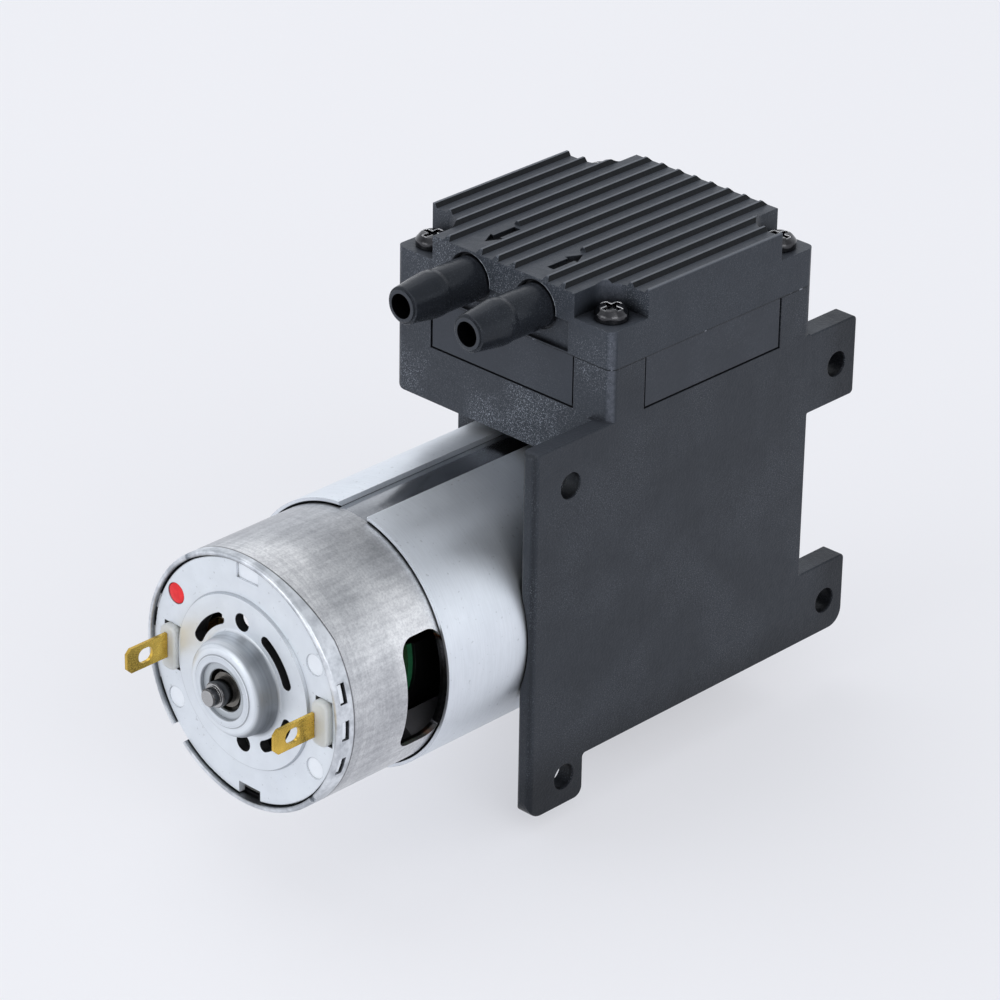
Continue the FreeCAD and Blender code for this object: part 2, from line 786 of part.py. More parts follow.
def screw_y(x, z, seat_y, r, length, head_r, head_t, out):
    """A screw along Y with its head on the side that out points to."""
    tip = seat_y - out * length
    top = seat_y + out * head_t
    body = turned_y([(0, tip, 0), (r, tip, 0.3), (r, seat_y, 0), (head_r, seat_y, 0.2),
                     (head_r, top, 0.6), (0, top, 0)], x, z)
    depth = head_t * y_recess_depth
    size = head_r * y_recess_size
    width = head_r * y_recess_width
    y0, y1 = sorted((top - out * depth, top + out))
    arms = [box(x - size / 2, x + size / 2, y0, y1, z - width / 2, z + width / 2),
            box(x - width / 2, x + width / 2, y0, y1, z - size / 2, z + size / 2)]
    return body.cut(arms)


def crankcase_cover():
    """Flat lid on the crankcase's open end, flush with the head's back."""
    section = crankcase_section(crankcase_x0, cavity_x1 - loose_gap, crankcase_bottom_z,
                                head_bottom_z - loose_gap, crankcase_corner_r)
    lid = prism_xz(section, back_cover_y, half_depth)
    return cut(lid, [rod_y(back_screw_r + screw_gap, back_cover_y - 1, half_depth + 1, x, z)
                     for x, z in back_screw_places()])


def crankcase_cover_screws():
    return [screw_y(x, z, half_depth, back_screw_r, back_screw_length, back_screw_head_r,
                    back_screw_head_t, 1) for x, z in back_screw_places()]


def motor_screws():
    return [screw_y(x, z, cavity_y0, motor_screw_r, motor_screw_length, motor_screw_head_r,
                    motor_screw_head_t, 1) for x, z in motor_screw_places()]


def rim_slots():
    """Angles of the rim's slots: three on each side, opposite each other."""
    return [deg + turn for turn in (0, 180) for deg in rim_slots_deg]


def motor_can():
    """Drawn steel can, closed at the front, with vents, windows at its rim and two tapped holes."""
    front, rear = motor_front_y, motor_rear_y
    boss_front = front + front_boss_length
    bush_r = front_bush_r + fit_gap
    can = turned_y([
        (rim_inner_r, rear, 0.2), (motor_r, rear, 0.5), (motor_r, front, 1.6), (front_boss_r, front, 0),
        (front_boss_r, boss_front, 0.6), (shaft_r + shaft_play, boss_front, 0),
        (shaft_r + shaft_play, boss_front - front_boss_wall, 0),
        (bush_r, boss_front - front_boss_wall, 0), (bush_r, front - can_wall - bush_seat_depth, 0),
        (front_boss_r, front - can_wall - bush_seat_depth, 0),
        (front_boss_r, front - can_wall, 0), (can_inner_r, front - can_wall, 0.4),
        (can_inner_r, cap_inner_y, 0), (rim_inner_r, cap_inner_y, 0)])
    z0, z1 = (motor_r * math.sin(math.radians(deg)) for deg in (window_from_deg, window_to_deg))
    y0, r = rear + window_rear, window_corner_r
    y1 = y0 + window_length
    reach = motor_r + 1
    openings = [prism_yz([(y0, z0, r), (y1, z0, r), (y1, z1, r), (y0, z1, r)], axis_x - reach,
                         axis_x + reach)]
    y0 = rear + rim_slot_rear
    openings += [sector_y(can_inner_r - 0.5, reach, deg - rim_slot_half_deg, deg + rim_slot_half_deg, y0,
                          y0 + rim_slot_length) for deg in rim_slots()]
    openings.append(sector_y(can_inner_r - 0.5, reach, rim_notch_deg - rim_notch_half_deg,
                             rim_notch_deg + rim_notch_half_deg, rear - 1, rear + rim_notch_depth))
    openings += [sector_y(can_inner_r - 0.5, reach, deg - rim_crimp_half_deg, deg + rim_crimp_half_deg,
                          rear - 1, rear + rim_crimp_depth) for deg in rim_crimps_deg]
    holes = [rod_y(motor_screw_r + fit_gap, front - can_wall - 1, front + 1, x, z)
             for x, z in motor_screw_places()]
    return cut(can, openings + holes)


def flux_ring():
    """Rolled steel sleeve round the can, with an open joint along its top."""
    y0 = motor_rear_y + flux_ring_rear
    y1 = motor_front_y - flux_ring_front_gap
    r = motor_r + fit_gap
    ring = turned_y([(r + flux_ring_bevel, y0, 0), (flux_ring_r, y0, 0), (flux_ring_r, y1, 0), (r, y1, 0),
                     (r, y0 + flux_ring_bevel_length, 0)])
    half = flux_ring_gap_deg / 2
    gap = sector_y(motor_r - 1, flux_ring_r + 1, flux_ring_gap_at_deg - half,
                   flux_ring_gap_at_deg + half, y0 - 1, y1 + 1)
    return cut(ring, [gap])


def carrier(side, y0, y1, grow, corner_r):
    """The section of a terminal's nylon block, or of the cap's opening round it."""
    inner = carrier_right_x if side > 0 else carrier_left_x
    x0, x1 = sorted((axis_x + side * (inner - grow), axis_x + side * (inner + carrier_width + grow)))
    z = carrier_height / 2 + grow
    return prism_xz([(x0, -z, corner_r), (x1, -z, corner_r), (x1, z, corner_r), (x0, z, corner_r)], y0, y1)


def arc_vent(from_deg, to_deg, y0, y1):
    """A slot that follows a circle about the motor's axis, with round ends."""
    half = end_vent_width / 2
    pieces = [sector_y(end_vent_r - half, end_vent_r + half, from_deg, to_deg, y0, y1)]
    for deg in (from_deg, to_deg):
        x, z = at_angle(end_vent_r, deg)
        pieces.append(rod_y(half, y0, y1, x, z))
    return pieces[0].fuse(pieces[1:])


def motor_end_cap():
    """Zinc-plated end plate with its bearing boss, vents, dimples and openings for the terminals."""
    cap_r = rim_inner_r - rim_gap
    pocket_r = rear_bearing_r + fit_gap
    inner_y = cap_inner_y
    cap = turned_y([
        (cap_r, inner_y, 0), (cap_r, cap_face_y, 0.2),
        (end_cap_step_r + end_cap_step_slope, cap_face_y, 0), (end_cap_step_r, cap_step_y, 0),
        (rear_boss_r, cap_step_y, 0.6), (rear_boss_top_r, boss_face_y + rear_boss_rim, rear_boss_shoulder_r),
        (rear_boss_face_r, boss_face_y + rear_boss_rim, 0), (rear_boss_face_r, boss_face_y, 0.1),
        (rear_boss_dish_r, boss_face_y, 0.1), (rear_boss_dish_r, boss_face_y + rear_boss_dish, 0),
        (rear_opening_r, boss_face_y + rear_boss_dish, 0.2), (rear_opening_r, bearing_rear_y, 0),
        (pocket_r, bearing_rear_y, 0), (pocket_r, inner_y, 0)])
    y0, y1 = boss_face_y - 1, inner_y + 1
    tools = [arc_vent(a, b, y0, y1) for a, b in end_vents_deg]
    for deg in end_vent_holes_deg:
        x, z = at_angle(end_vent_r, deg)
        tools.append(rod_y(end_vent_hole_r, y0, y1, x, z))
    for deg in dimples_deg:
        x, z = at_angle(dimple_at_r, deg)
        tools.append(rod_y(dimple_r, cap_face_y - 1, cap_face_y + dimple_depth, x, z))
    tools += [carrier(side, y0, y1, pivot_gap, 0) for side in (1, -1)]
    x0, x1 = axis_x - lanced_x0, axis_x + lanced_x1
    tools.append(box(x0, x1, y0, y1, -can_inner_r - 1, -lanced_z))
    tools.append(box(x0, x1, y0, cap_face_y + lanced_depth, lanced_z - lanced_inset, can_inner_r + 1))
    cap = cut(cap, tools)
    tabs = [sector_y(can_inner_r - rim_tab_root, motor_r - rim_tab_under, deg - rim_tab_half_deg,
                     deg + rim_tab_half_deg, cap_face_y + rim_tab_step, cap_inner_y - rim_tab_step)
            for deg in rim_slots()]
    return fuse([cap] + tabs)


def brush_plate():
    """Nylon plate behind the end cap, with two blocks that stand out round the terminals."""
    plate = ring_y(brush_plate_bore_r, can_inner_r - brush_plate_play, cap_inner_y,
                   cap_inner_y + brush_plate_t)
    outer_y = cap_face_y - carrier_proud
    blocks = []
    for side in (1, -1):
        block = carrier(side, outer_y, cap_inner_y + carrier_root, 0, carrier_corner_r)
        edges = [e for e in block.Edges if abs(e.BoundBox.YMax - outer_y) < 1e-6]
        blocks.append(block.makeFillet(carrier_edge_r, edges))
    plate = fuse([plate] + blocks)
    half = terminal_t / 2 + fit_gap
    tall = terminal_height / 2 + fit_gap
    slots = []
    for side in (1, -1):
        x, z = axis_x + side * terminal_x, -side * terminal_offset_z
        slots.append(box(x - half, x + half, outer_y - 1, cap_inner_y + brush_plate_t + 1, z - tall,
                         z + tall))
    return cut(plate, slots)


def terminal(side):
    """Brass blade with an oval hole and cut corners, through the brush plate."""
    x = axis_x + side * terminal_x
    tip = cap_face_y - terminal_reach
    tail = cap_inner_y + terminal_tail
    middle = -side * terminal_offset_z
    z0, z1 = middle - terminal_height / 2, middle + terminal_height / 2
    c = terminal_corner
    points = [(tip, z0 + c, 0), (tip + c, z0, 0), (tail, z0, 0), (tail, z1, 0), (tip + c, z1, 0),
              (tip, z1 - c, 0)]
    blade = prism_yz(points, x - terminal_t / 2, x + terminal_t / 2)
    y0 = tip + terminal_hole_from_tip
    y1 = y0 + terminal_hole_length
    z0, z1 = middle - terminal_hole_height / 2, middle + terminal_hole_height / 2
    r = terminal_hole_height / 2 - 0.05
    hole = prism_yz([(y0, z0, r), (y1, z0, r), (y1, z1, r), (y0, z1, r)], x - 2, x + 2)
    return cut(blade, [hole])


def brush_y():
    return (commutator_y0 + commutator_y1) / 2


def brush(side):
    """Carbon block whose inner face follows the commutator."""
    y0 = brush_y() - brush_size / 2
    y1 = brush_y() + brush_size / 2
    outer = axis_x + side * (commutator_r + brush_size)
    xs = sorted((outer, axis_x + side * brush_blank_x))
    block = box(xs[0], xs[1], y0, y1, -brush_width / 2, brush_width / 2)
    return cut(block, [rod_y(commutator_r + pivot_gap, y0 - 1, y1 + 1)])


def brush_arm(side):
    """Spring strip from the terminal's tail to the brush."""
    y = brush_y() - brush_size / 2
    tail = cap_inner_y + brush_plate_t
    outer = terminal_x - terminal_t / 2
    inner = commutator_r + riser_height
    t = brush_arm_t
    bend = brush_arm_bend_r
    points = [(outer, tail, 0), (outer, y, bend), (inner, y, 0), (inner, y - t, 0),
              (outer - t, y - t, bend - t), (outer - t, tail, 0)]
    face = outline([(axis_x + side * r, v, c) for r, v, c in points],
                   lambda p: Vector(p.x, p.y, -brush_arm_width / 2))
    return face.extrude(Vector(0, 0, brush_arm_width))


def magnet(side):
    """Ferrite arc on the can's inner wall."""
    middle = 90 * side
    y1 = armature_y1 + magnet_overhang
    return sector_y(can_inner_r - magnet_t, can_inner_r - fit_gap, middle - magnet_half_deg,
                    middle + magnet_half_deg, y1 - magnet_length, y1)


def slot_tools(y0, y1):
    """Cutting tools for the armature's winding slots."""
    tools = []
    for i in range(pole_count):
        deg = 90 + 360 * i / pole_count
        x, z = at_angle(slot_at_r, deg)
        mouth = box(axis_x + slot_at_r, axis_x + armature_r + 1, y0, y1, -slot_mouth / 2, slot_mouth / 2)
        mouth.rotate(Vector(axis_x, 0, 0), Vector(0, 1, 0), -deg)
        tools.append(rod_y(slot_r, y0, y1, x, z))
        tools.append(mouth)
    return tools


def armature_core():
    core = ring_y(shaft_r + fit_gap, armature_r, armature_y0, armature_y1)
    return cut(core, slot_tools(armature_y0 - 1, armature_y1 + 1))


def armature_insulators():
    """Green insulating discs on both ends of the core."""
    discs = []
    for y in (armature_y0 - insulator_t, armature_y1):
        disc = ring_y(shaft_r + insulator_bore_play, insulator_r, y, y + insulator_t)
        discs.append(cut(disc, slot_tools(y - 1, y + insulator_t + 1)))
    return discs


def armature_windings():
    """Copper coils: bundles through the slots, with round end turns beyond the insulators."""
    rear = armature_y0 - insulator_t
    front = armature_y1 + insulator_t
    turns = []
    for y0, y1 in ((rear - end_turn_t, rear), (front, front + end_turn_t)):
        turns.append(turned_y([(end_turn_inner_r, y0, 1.5), (end_turn_r, y0, 1.8),
                               (end_turn_r, y1, 1.0), (end_turn_inner_r, y1, 1.0)]))
    bundles = []
    for i in range(pole_count):
        x, z = at_angle(slot_at_r, 90 + 360 * i / pole_count)
        bundles.append(rod_y(slot_r - bundle_play, rear - 1, front + 1, x, z))
    return fuse(turns + bundles)


def commutator():
    body = ring_y(shaft_r + fit_gap, commutator_r, commutator_y0, commutator_y1)
    riser = ring_y(shaft_r + fit_gap, commutator_r + riser_height, commutator_y1 - riser_t, commutator_y1)
    cuts = []
    for i in range(pole_count):
        cutter = box(axis_x + commutator_r - segment_gap_depth, axis_x + commutator_r + riser_height + 1,
                     commutator_y0 - 1, commutator_y1 + 1, -segment_gap / 2, segment_gap / 2)
        cutter.rotate(Vector(axis_x, 0, 0), Vector(0, 1, 0), 360 * (i + 0.25) / pole_count)
        cuts.append(cutter)
    return cut(fuse([body, riser]), cuts)


def front_bush():
    y1 = motor_front_y + front_boss_length - front_boss_wall
    return ring_y(shaft_r + running_gap, front_bush_r, y1 - front_bush_t, y1)


def motor_shaft():
    """Steel shaft: full size to the rear bearing, a journal in it and a thin stub behind."""
    stub_tip = motor_rear_y - stub_reach
    journal_y = bearing_rear_y + rear_bearing_t
    return turned_y([
        (0, stub_tip, 0), (stub_r, stub_tip, 0.35), (stub_r, stub_tip + stub_length, 0),
        (journal_r, stub_tip + stub_length, 0.3), (journal_r, journal_y, 0), (shaft_r, journal_y, 0),
        (shaft_r, shaft_front_y, 0.3), (0, shaft_front_y, 0)])


def rear_bearing_y():
    return bearing_rear_y, bearing_rear_y + rear_bearing_t


def rear_bearing_outer():
    y0, y1 = rear_bearing_y()
    return ring_y(rear_bearing_r - race_t, rear_bearing_r, y0, y1)


def rear_bearing_inner():
    y0, y1 = rear_bearing_y()
    return ring_y(journal_r + fit_gap, journal_r + race_t, y0, y1)


def ball_set(r_in, r_out, y, count, z):
    """Balls evenly spaced in a bearing, between its two races."""
    middle = (r_in + r_out) / 2
    ball_r = (r_out - r_in) / 2 - fit_gap
    balls = []
    for i in range(count):
        a = 2 * math.pi * (i + 0.5) / count
        place = Vector(axis_x + middle * math.cos(a), y, z + middle * math.sin(a))
        balls.append(Part.makeSphere(ball_r, place))
    return balls


def rear_bearing_balls():
    y0, y1 = rear_bearing_y()
    return ball_set(journal_r + race_t, rear_bearing_r - race_t, (y0 + y1) / 2, rear_ball_count, 0)


def eccentric_hub():
    """Hub on the motor's shaft, with a balance weight opposite the eccentric that drives the rod."""
    hub = rod_y(hub_r, hub_rear_y, hub_web_y)
    weight = rod_y(weight_r, hub_rear_y, hub_rear_y + weight_t)
    keep = box(axis_x - weight_r, axis_x + weight_r, hub_rear_y, hub_web_y, 0, weight_r)
    shoulder = rod_y(shoulder_r, hub_web_y, hub_web_y + shoulder_t, z=crank_z)
    journal = rod_y(eccentric_r, hub_web_y, eccentric_end_y, z=crank_z)
    groove_y = crank_bearing_t / 2 + pivot_gap
    groove = ring_y(eccentric_r - circlip_depth, eccentric_r + 1, groove_y,
                    groove_y + circlip_t + 2 * pivot_gap, z=crank_z)
    bore = rod_y(shaft_r + fit_gap, hub_rear_y - 1, eccentric_end_y + 1)
    screw_hole = rod_x(set_screw_r + fit_gap, axis_x, axis_x + hub_r + 1, (hub_rear_y + hub_web_y) / 2, 0)
    return cut(fuse([hub, weight.common(keep), shoulder, journal]), [groove, bore, screw_hole])


def hub_set_screw():
    x0 = axis_x + shaft_r + pivot_gap
    y = (hub_rear_y + hub_web_y) / 2
    screw = rod_x(set_screw_r, x0, x0 + set_screw_length, y, 0)
    end = x0 + set_screw_length
    socket = rod_x(set_screw_socket_r, end - set_screw_socket_depth, end + 1, y, 0)
    return screw.cut(socket)


def bearing_circlip():
    """Spring clip in the eccentric's groove, open at one side."""
    y0 = crank_bearing_t / 2 + 2 * pivot_gap
    clip = ring_y(eccentric_r - circlip_depth + fit_gap, circlip_r, y0, y0 + circlip_t, z=crank_z)
    mouth = box(axis_x - circlip_mouth / 2, axis_x + circlip_mouth / 2, y0 - 1, y0 + circlip_t + 1,
                crank_z - circlip_r - 1, crank_z)
    return cut(clip, [mouth])


def crank_bearing_outer():
    half = crank_bearing_t / 2
    return ring_y(crank_bearing_r - crank_race_t, crank_bearing_r, -half, half, z=crank_z)


def crank_bearing_inner():
    half = crank_bearing_t / 2
    return ring_y(eccentric_r + fit_gap, eccentric_r + crank_race_t, -half, half, z=crank_z)


def crank_bearing_balls():
    return ball_set(eccentric_r + crank_race_t, crank_bearing_r - crank_race_t, 0, crank_ball_count,
                    crank_z)


def connecting_rod():
    """Rod with its ring round the crank bearing and the disc that carries the diaphragm."""
    half = rod_t / 2
    ring = rod_y(rod_ring_r, -half, half, z=crank_z)
    disc_z = disc_bottom_z - piston_t
    ring_top_z = crank_z + rod_ring_r
    foot_z, waist_z = ring_top_z - rod_foot_sink, ring_top_z + rod_foot_rise
    shank = prism_xz([(axis_x - rod_foot_x / 2, foot_z, 0), (axis_x + rod_foot_x / 2, foot_z, 0),
                      (axis_x + rod_shank_x / 2, waist_z, 0), (axis_x + rod_shank_x / 2, disc_z + 1, 0),
                      (axis_x - rod_shank_x / 2, disc_z + 1, 0), (axis_x - rod_shank_x / 2, waist_z, 0)],
                     -half, half)
    neck_z = weight_r + neck_over_weight
    neck = turned_z([(0, neck_z, 0), (neck_low_r, neck_z, 0), (neck_r, disc_z - piston_flare, neck_flare_r),
                     (piston_r - piston_bevel, disc_z, 0), (piston_r, disc_z + piston_bevel / 2, 0.4),
                     (piston_r, disc_bottom_z, 0.4), (0, disc_bottom_z, 0)], axis_x, 0)
    bore = rod_y(crank_bearing_r + fit_gap, -half - 1, half + 1, z=crank_z)
    thread = rod_z(clamp_screw_r + fit_gap, disc_top_z + clamp_plate_t - clamp_screw_length - hole_bottom_gap,
                   disc_bottom_z + 1, axis_x, 0)
    return cut(fuse([ring, shank, neck]), [bore, thread])


def diaphragm():
    """Rubber diaphragm at the bottom of its stroke: clamped rim, rolled web and thick middle."""
    t = diaphragm_web_t
    web_z = diaphragm_mid_z - t / 2
    bore = clamp_screw_r + pivot_gap
    inner = piston_r + seat_lip
    web_r = inner + (diaphragm_t - t) / 2
    low = disc_bottom_z + (diaphragm_t - t) / 2
    rim_r = cylinder_r + rim_seat
    bend0, bend1 = inner + roll_x, cylinder_r - roll_x / 2
    return turned_z([
        (bore, disc_bottom_z, 0), (inner, disc_bottom_z, 0.4), (web_r, low, 0),
        (bend0 + roll_rise, low + roll_rise, roll_r), (bend1 - roll_rise, web_z, roll_r), (rim_r, web_z, 0),
        (rim_r, rim_bottom_z, 0), (diaphragm_r, rim_bottom_z, 0.3), (diaphragm_r, rim_top_z, 0.3),
        (rim_r, rim_top_z, 0), (rim_r, web_z + t, 0), (bend1 - 3 * roll_rise, web_z + t, roll_r),
        (bend0, low + t + roll_rise, roll_r), (web_r, low + t, 0), (inner, disc_top_z, 0.4),
        (bore, disc_top_z, 0)], axis_x, 0)


def clamp_plate():
    """Aluminium disc that clamps the diaphragm to the rod, countersunk for its screw."""
    z0, z1 = disc_top_z, disc_top_z + clamp_plate_t
    sink = clamp_screw_head_r + pivot_gap
    return turned_z([(clamp_screw_r + pivot_gap, z0, 0), (clamp_plate_r, z0, 0.5), (clamp_plate_r, z1, 0.6),
                     (sink, z1, 0), (clamp_screw_r + pivot_gap, z1 - sink + clamp_screw_r, 0)], axis_x, 0)


def clamp_screw():
    top = disc_top_z + clamp_plate_t - clamp_screw_sink
    head = clamp_screw_head_r
    tip = disc_top_z + clamp_plate_t - clamp_screw_length
    screw = turned_z([(0, tip, 0), (clamp_screw_r, tip, 0.4), (clamp_screw_r, top - head + clamp_screw_r, 0),
                      (head, top, 0), (0, top, 0)], axis_x, 0)
    size, width = clamp_recess_size, clamp_recess_width
    arms = [box(axis_x - w / 2, axis_x + w / 2, -d / 2, d / 2, top - clamp_recess_depth, top + 1)
            for w, d in ((size, width), (width, size))]
    return screw.cut(arms)


def flap(x, seat_z, out):
    """Rubber flap over a port, with a round bead along the edge that it swings about."""
    z0, z1 = sorted((seat_z + out * pivot_gap, seat_z + out * (pivot_gap + flap_t)))
    half = flap_width / 2
    blade = prism_xy([(x - half, flap_y - flap_length, 2.5), (x + half, flap_y - flap_length, 2.5),
                      (x + half, flap_y, 0), (x - half, flap_y, 0)], z0, z1)
    bead = rod_x(bead_r, x - half, x + half, flap_y, seat_z + out * (bead_r + pivot_gap))
    return fuse([blade, bead])


def flap_retainer(x, seat_z, out):
    """Bar over the flap's bead: it holds the bead's ends and back, and leaves the blade free."""
    half = retainer_width / 2
    bead_z = seat_z + out * (bead_r + pivot_gap)
    y0 = flap_y - bead_r
    y1 = flap_y + bead_r + pivot_gap + retainer_wall
    z0, z1 = sorted((seat_z, seat_z + out * retainer_t))
    bar = box(x - half, x + half, y0, y1, z0, z1)
    room = flap_width / 2 + pivot_gap
    c0, c1 = sorted((seat_z - out, bead_z + out * (bead_r + pivot_gap)))
    mouth = box(x - room, x + room, y0 - 1, flap_y, c0, c1)
    seat = rod_x(bead_r + pivot_gap, x - room, x + room, flap_y, bead_z)
    b0, b1 = sorted((seat_z - out, bead_z))
    drop = box(x - room, x + room, flap_y - 0.01, flap_y + bead_r + pivot_gap, b0, b1)
    return cut(bar, [mouth, seat, drop])


def make_parts():
    parts = {
        "pump_body": pump_body(),
        "middle_plate": middle_plate(),
        "head_cover": head_cover(),
        "cover_gasket": cover_gasket(),
        "cover_screws": cover_screws(),
        "crankcase_cover": crankcase_cover(),
        "crankcase_cover_screws": crankcase_cover_screws(),
        "motor_screws": motor_screws(),
        "motor_can": motor_can(),
        "flux_ring": flux_ring(),
        "motor_end_cap": motor_end_cap(),
        "brush_plate": brush_plate(),
        "armature_core": armature_core(),
        "armature_insulators": armature_insulators(),
        "armature_windings": armature_windings(),
        "commutator": commutator(),
        "front_bush": front_bush(),
        "motor_shaft": motor_shaft(),
        "rear_bearing_outer": rear_bearing_outer(),
        "rear_bearing_inner": rear_bearing_inner(),
        "rear_bearing_balls": rear_bearing_balls(),
        "eccentric_hub": eccentric_hub(),
        "hub_set_screw": hub_set_screw(),
        "bearing_circlip": bearing_circlip(),
        "crank_bearing_outer": crank_bearing_outer(),
        "crank_bearing_inner": crank_bearing_inner(),
        "crank_bearing_balls": crank_bearing_balls(),
        "connecting_rod": connecting_rod(),
        "diaphragm": diaphragm(),
        "clamp_plate": clamp_plate(),
        "clamp_screw": clamp_screw(),
        "inlet_flap": flap(inlet_x, inlet_seat_z, -1),
        "outlet_flap": flap(outlet_x, upper_seam_z, 1),
        "inlet_flap_retainer": flap_retainer(inlet_x, inlet_seat_z, -1),
        "outlet_flap_retainer": flap_retainer(outlet_x, upper_seam_z, 1),
    }
    for name, side in (("right", 1), ("left", -1)):
        parts["terminal_" + name] = terminal(side)
        parts["brush_" + name] = brush(side)
        parts["brush_arm_" + name] = brush_arm(side)
    for name, side in (("top", 1), ("bottom", -1)):
        parts["magnet_" + name] = magnet(side)
    return parts


os.makedirs("parts", exist_ok=True)
for name, shape in make_parts().items():
    if isinstance(shape, list):
        shape = Part.makeCompound(shape)
    shape.exportStep("parts/" + name + ".step")
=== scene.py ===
import json
import math

import bmesh
import bpy
from mathutils import Matrix, Vector


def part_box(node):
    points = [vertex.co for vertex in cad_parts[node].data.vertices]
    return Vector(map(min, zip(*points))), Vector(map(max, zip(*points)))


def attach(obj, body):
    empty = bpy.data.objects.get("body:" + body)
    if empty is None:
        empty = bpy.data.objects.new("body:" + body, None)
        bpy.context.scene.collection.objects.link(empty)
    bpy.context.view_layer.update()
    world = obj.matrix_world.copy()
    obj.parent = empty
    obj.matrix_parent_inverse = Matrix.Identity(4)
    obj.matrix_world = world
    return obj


# Diaphragm vacuum pump. All lengths are in metres in the part's own frame: X = 0 is the mounting
# face, Y runs along the motor to the pump and Z is up to the ribbed cover.

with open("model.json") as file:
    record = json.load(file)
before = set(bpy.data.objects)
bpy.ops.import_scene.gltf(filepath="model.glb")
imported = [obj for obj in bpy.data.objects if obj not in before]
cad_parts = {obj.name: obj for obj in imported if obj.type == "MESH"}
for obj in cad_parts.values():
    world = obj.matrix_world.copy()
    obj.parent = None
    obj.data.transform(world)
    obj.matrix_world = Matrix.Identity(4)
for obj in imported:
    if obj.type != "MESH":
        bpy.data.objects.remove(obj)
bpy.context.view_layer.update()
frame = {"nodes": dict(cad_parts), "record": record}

MM = 0.001
X, Y, Z = 0, 1, 2
NOISE_LOW, NOISE_HIGH = 0.3, 0.7  # most of a noise texture lies between these
WHITE = (1.0, 1.0, 1.0)


# Places read from the frame
def middle(low, high):
    return (low + high) / 2


can_low, can_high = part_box("motor_can")
body_low, body_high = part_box("pump_body")
cover_low, cover_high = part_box("head_cover")

AXIS_X = middle(can_low.x, can_high.x)
CAN_R = (can_high.x - can_low.x) / 2
CAN_REAR = can_low.y
CAP_FACE = CAN_REAR + 0.65 * MM
RING_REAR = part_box("flux_ring")[0].y
HEAD_FRONT = cover_low.y + 15.2 * MM
LAND_Z = cover_high.z - 0.7 * MM
SEAM_Z = cover_low.z
FLOOR_Z = body_low.z - 2.5 * MM


# Camera at the photograph's view
CAMERA_AT = Vector((0.43616, -0.50589, 0.35030))
CAMERA_AZIMUTH = 43.618
CAMERA_ELEVATION = 26.970
CAMERA_ROLL = 0.968
CAMERA_LENS = 168.55
SENSOR_WIDTH = 36
CLIP_START, CLIP_END = 0.01, 20


def make_camera():
    azimuth = math.radians(CAMERA_AZIMUTH)
    elevation = math.radians(CAMERA_ELEVATION)
    roll = math.radians(CAMERA_ROLL)
    back = Vector((math.sin(azimuth) * math.cos(elevation), -math.cos(azimuth) * math.cos(elevation),
                   math.sin(elevation)))
    right = Vector((math.cos(azimuth), math.sin(azimuth), 0))
    up = back.cross(right)
    right, up = (math.cos(roll) * right + math.sin(roll) * up,
                 -math.sin(roll) * right + math.cos(roll) * up)
    camera = bpy.data.objects.new("camera", bpy.data.cameras.new("camera"))
    camera.data.lens = CAMERA_LENS
    camera.data.sensor_width = SENSOR_WIDTH
    camera.data.clip_start = CLIP_START
    camera.data.clip_end = CLIP_END
    turn = Matrix((right, up, back)).transposed()
    camera.matrix_world = Matrix.Translation(CAMERA_AT) @ turn.to_4x4()
    bpy.context.scene.collection.objects.link(camera)
    bpy.context.scene.camera = camera


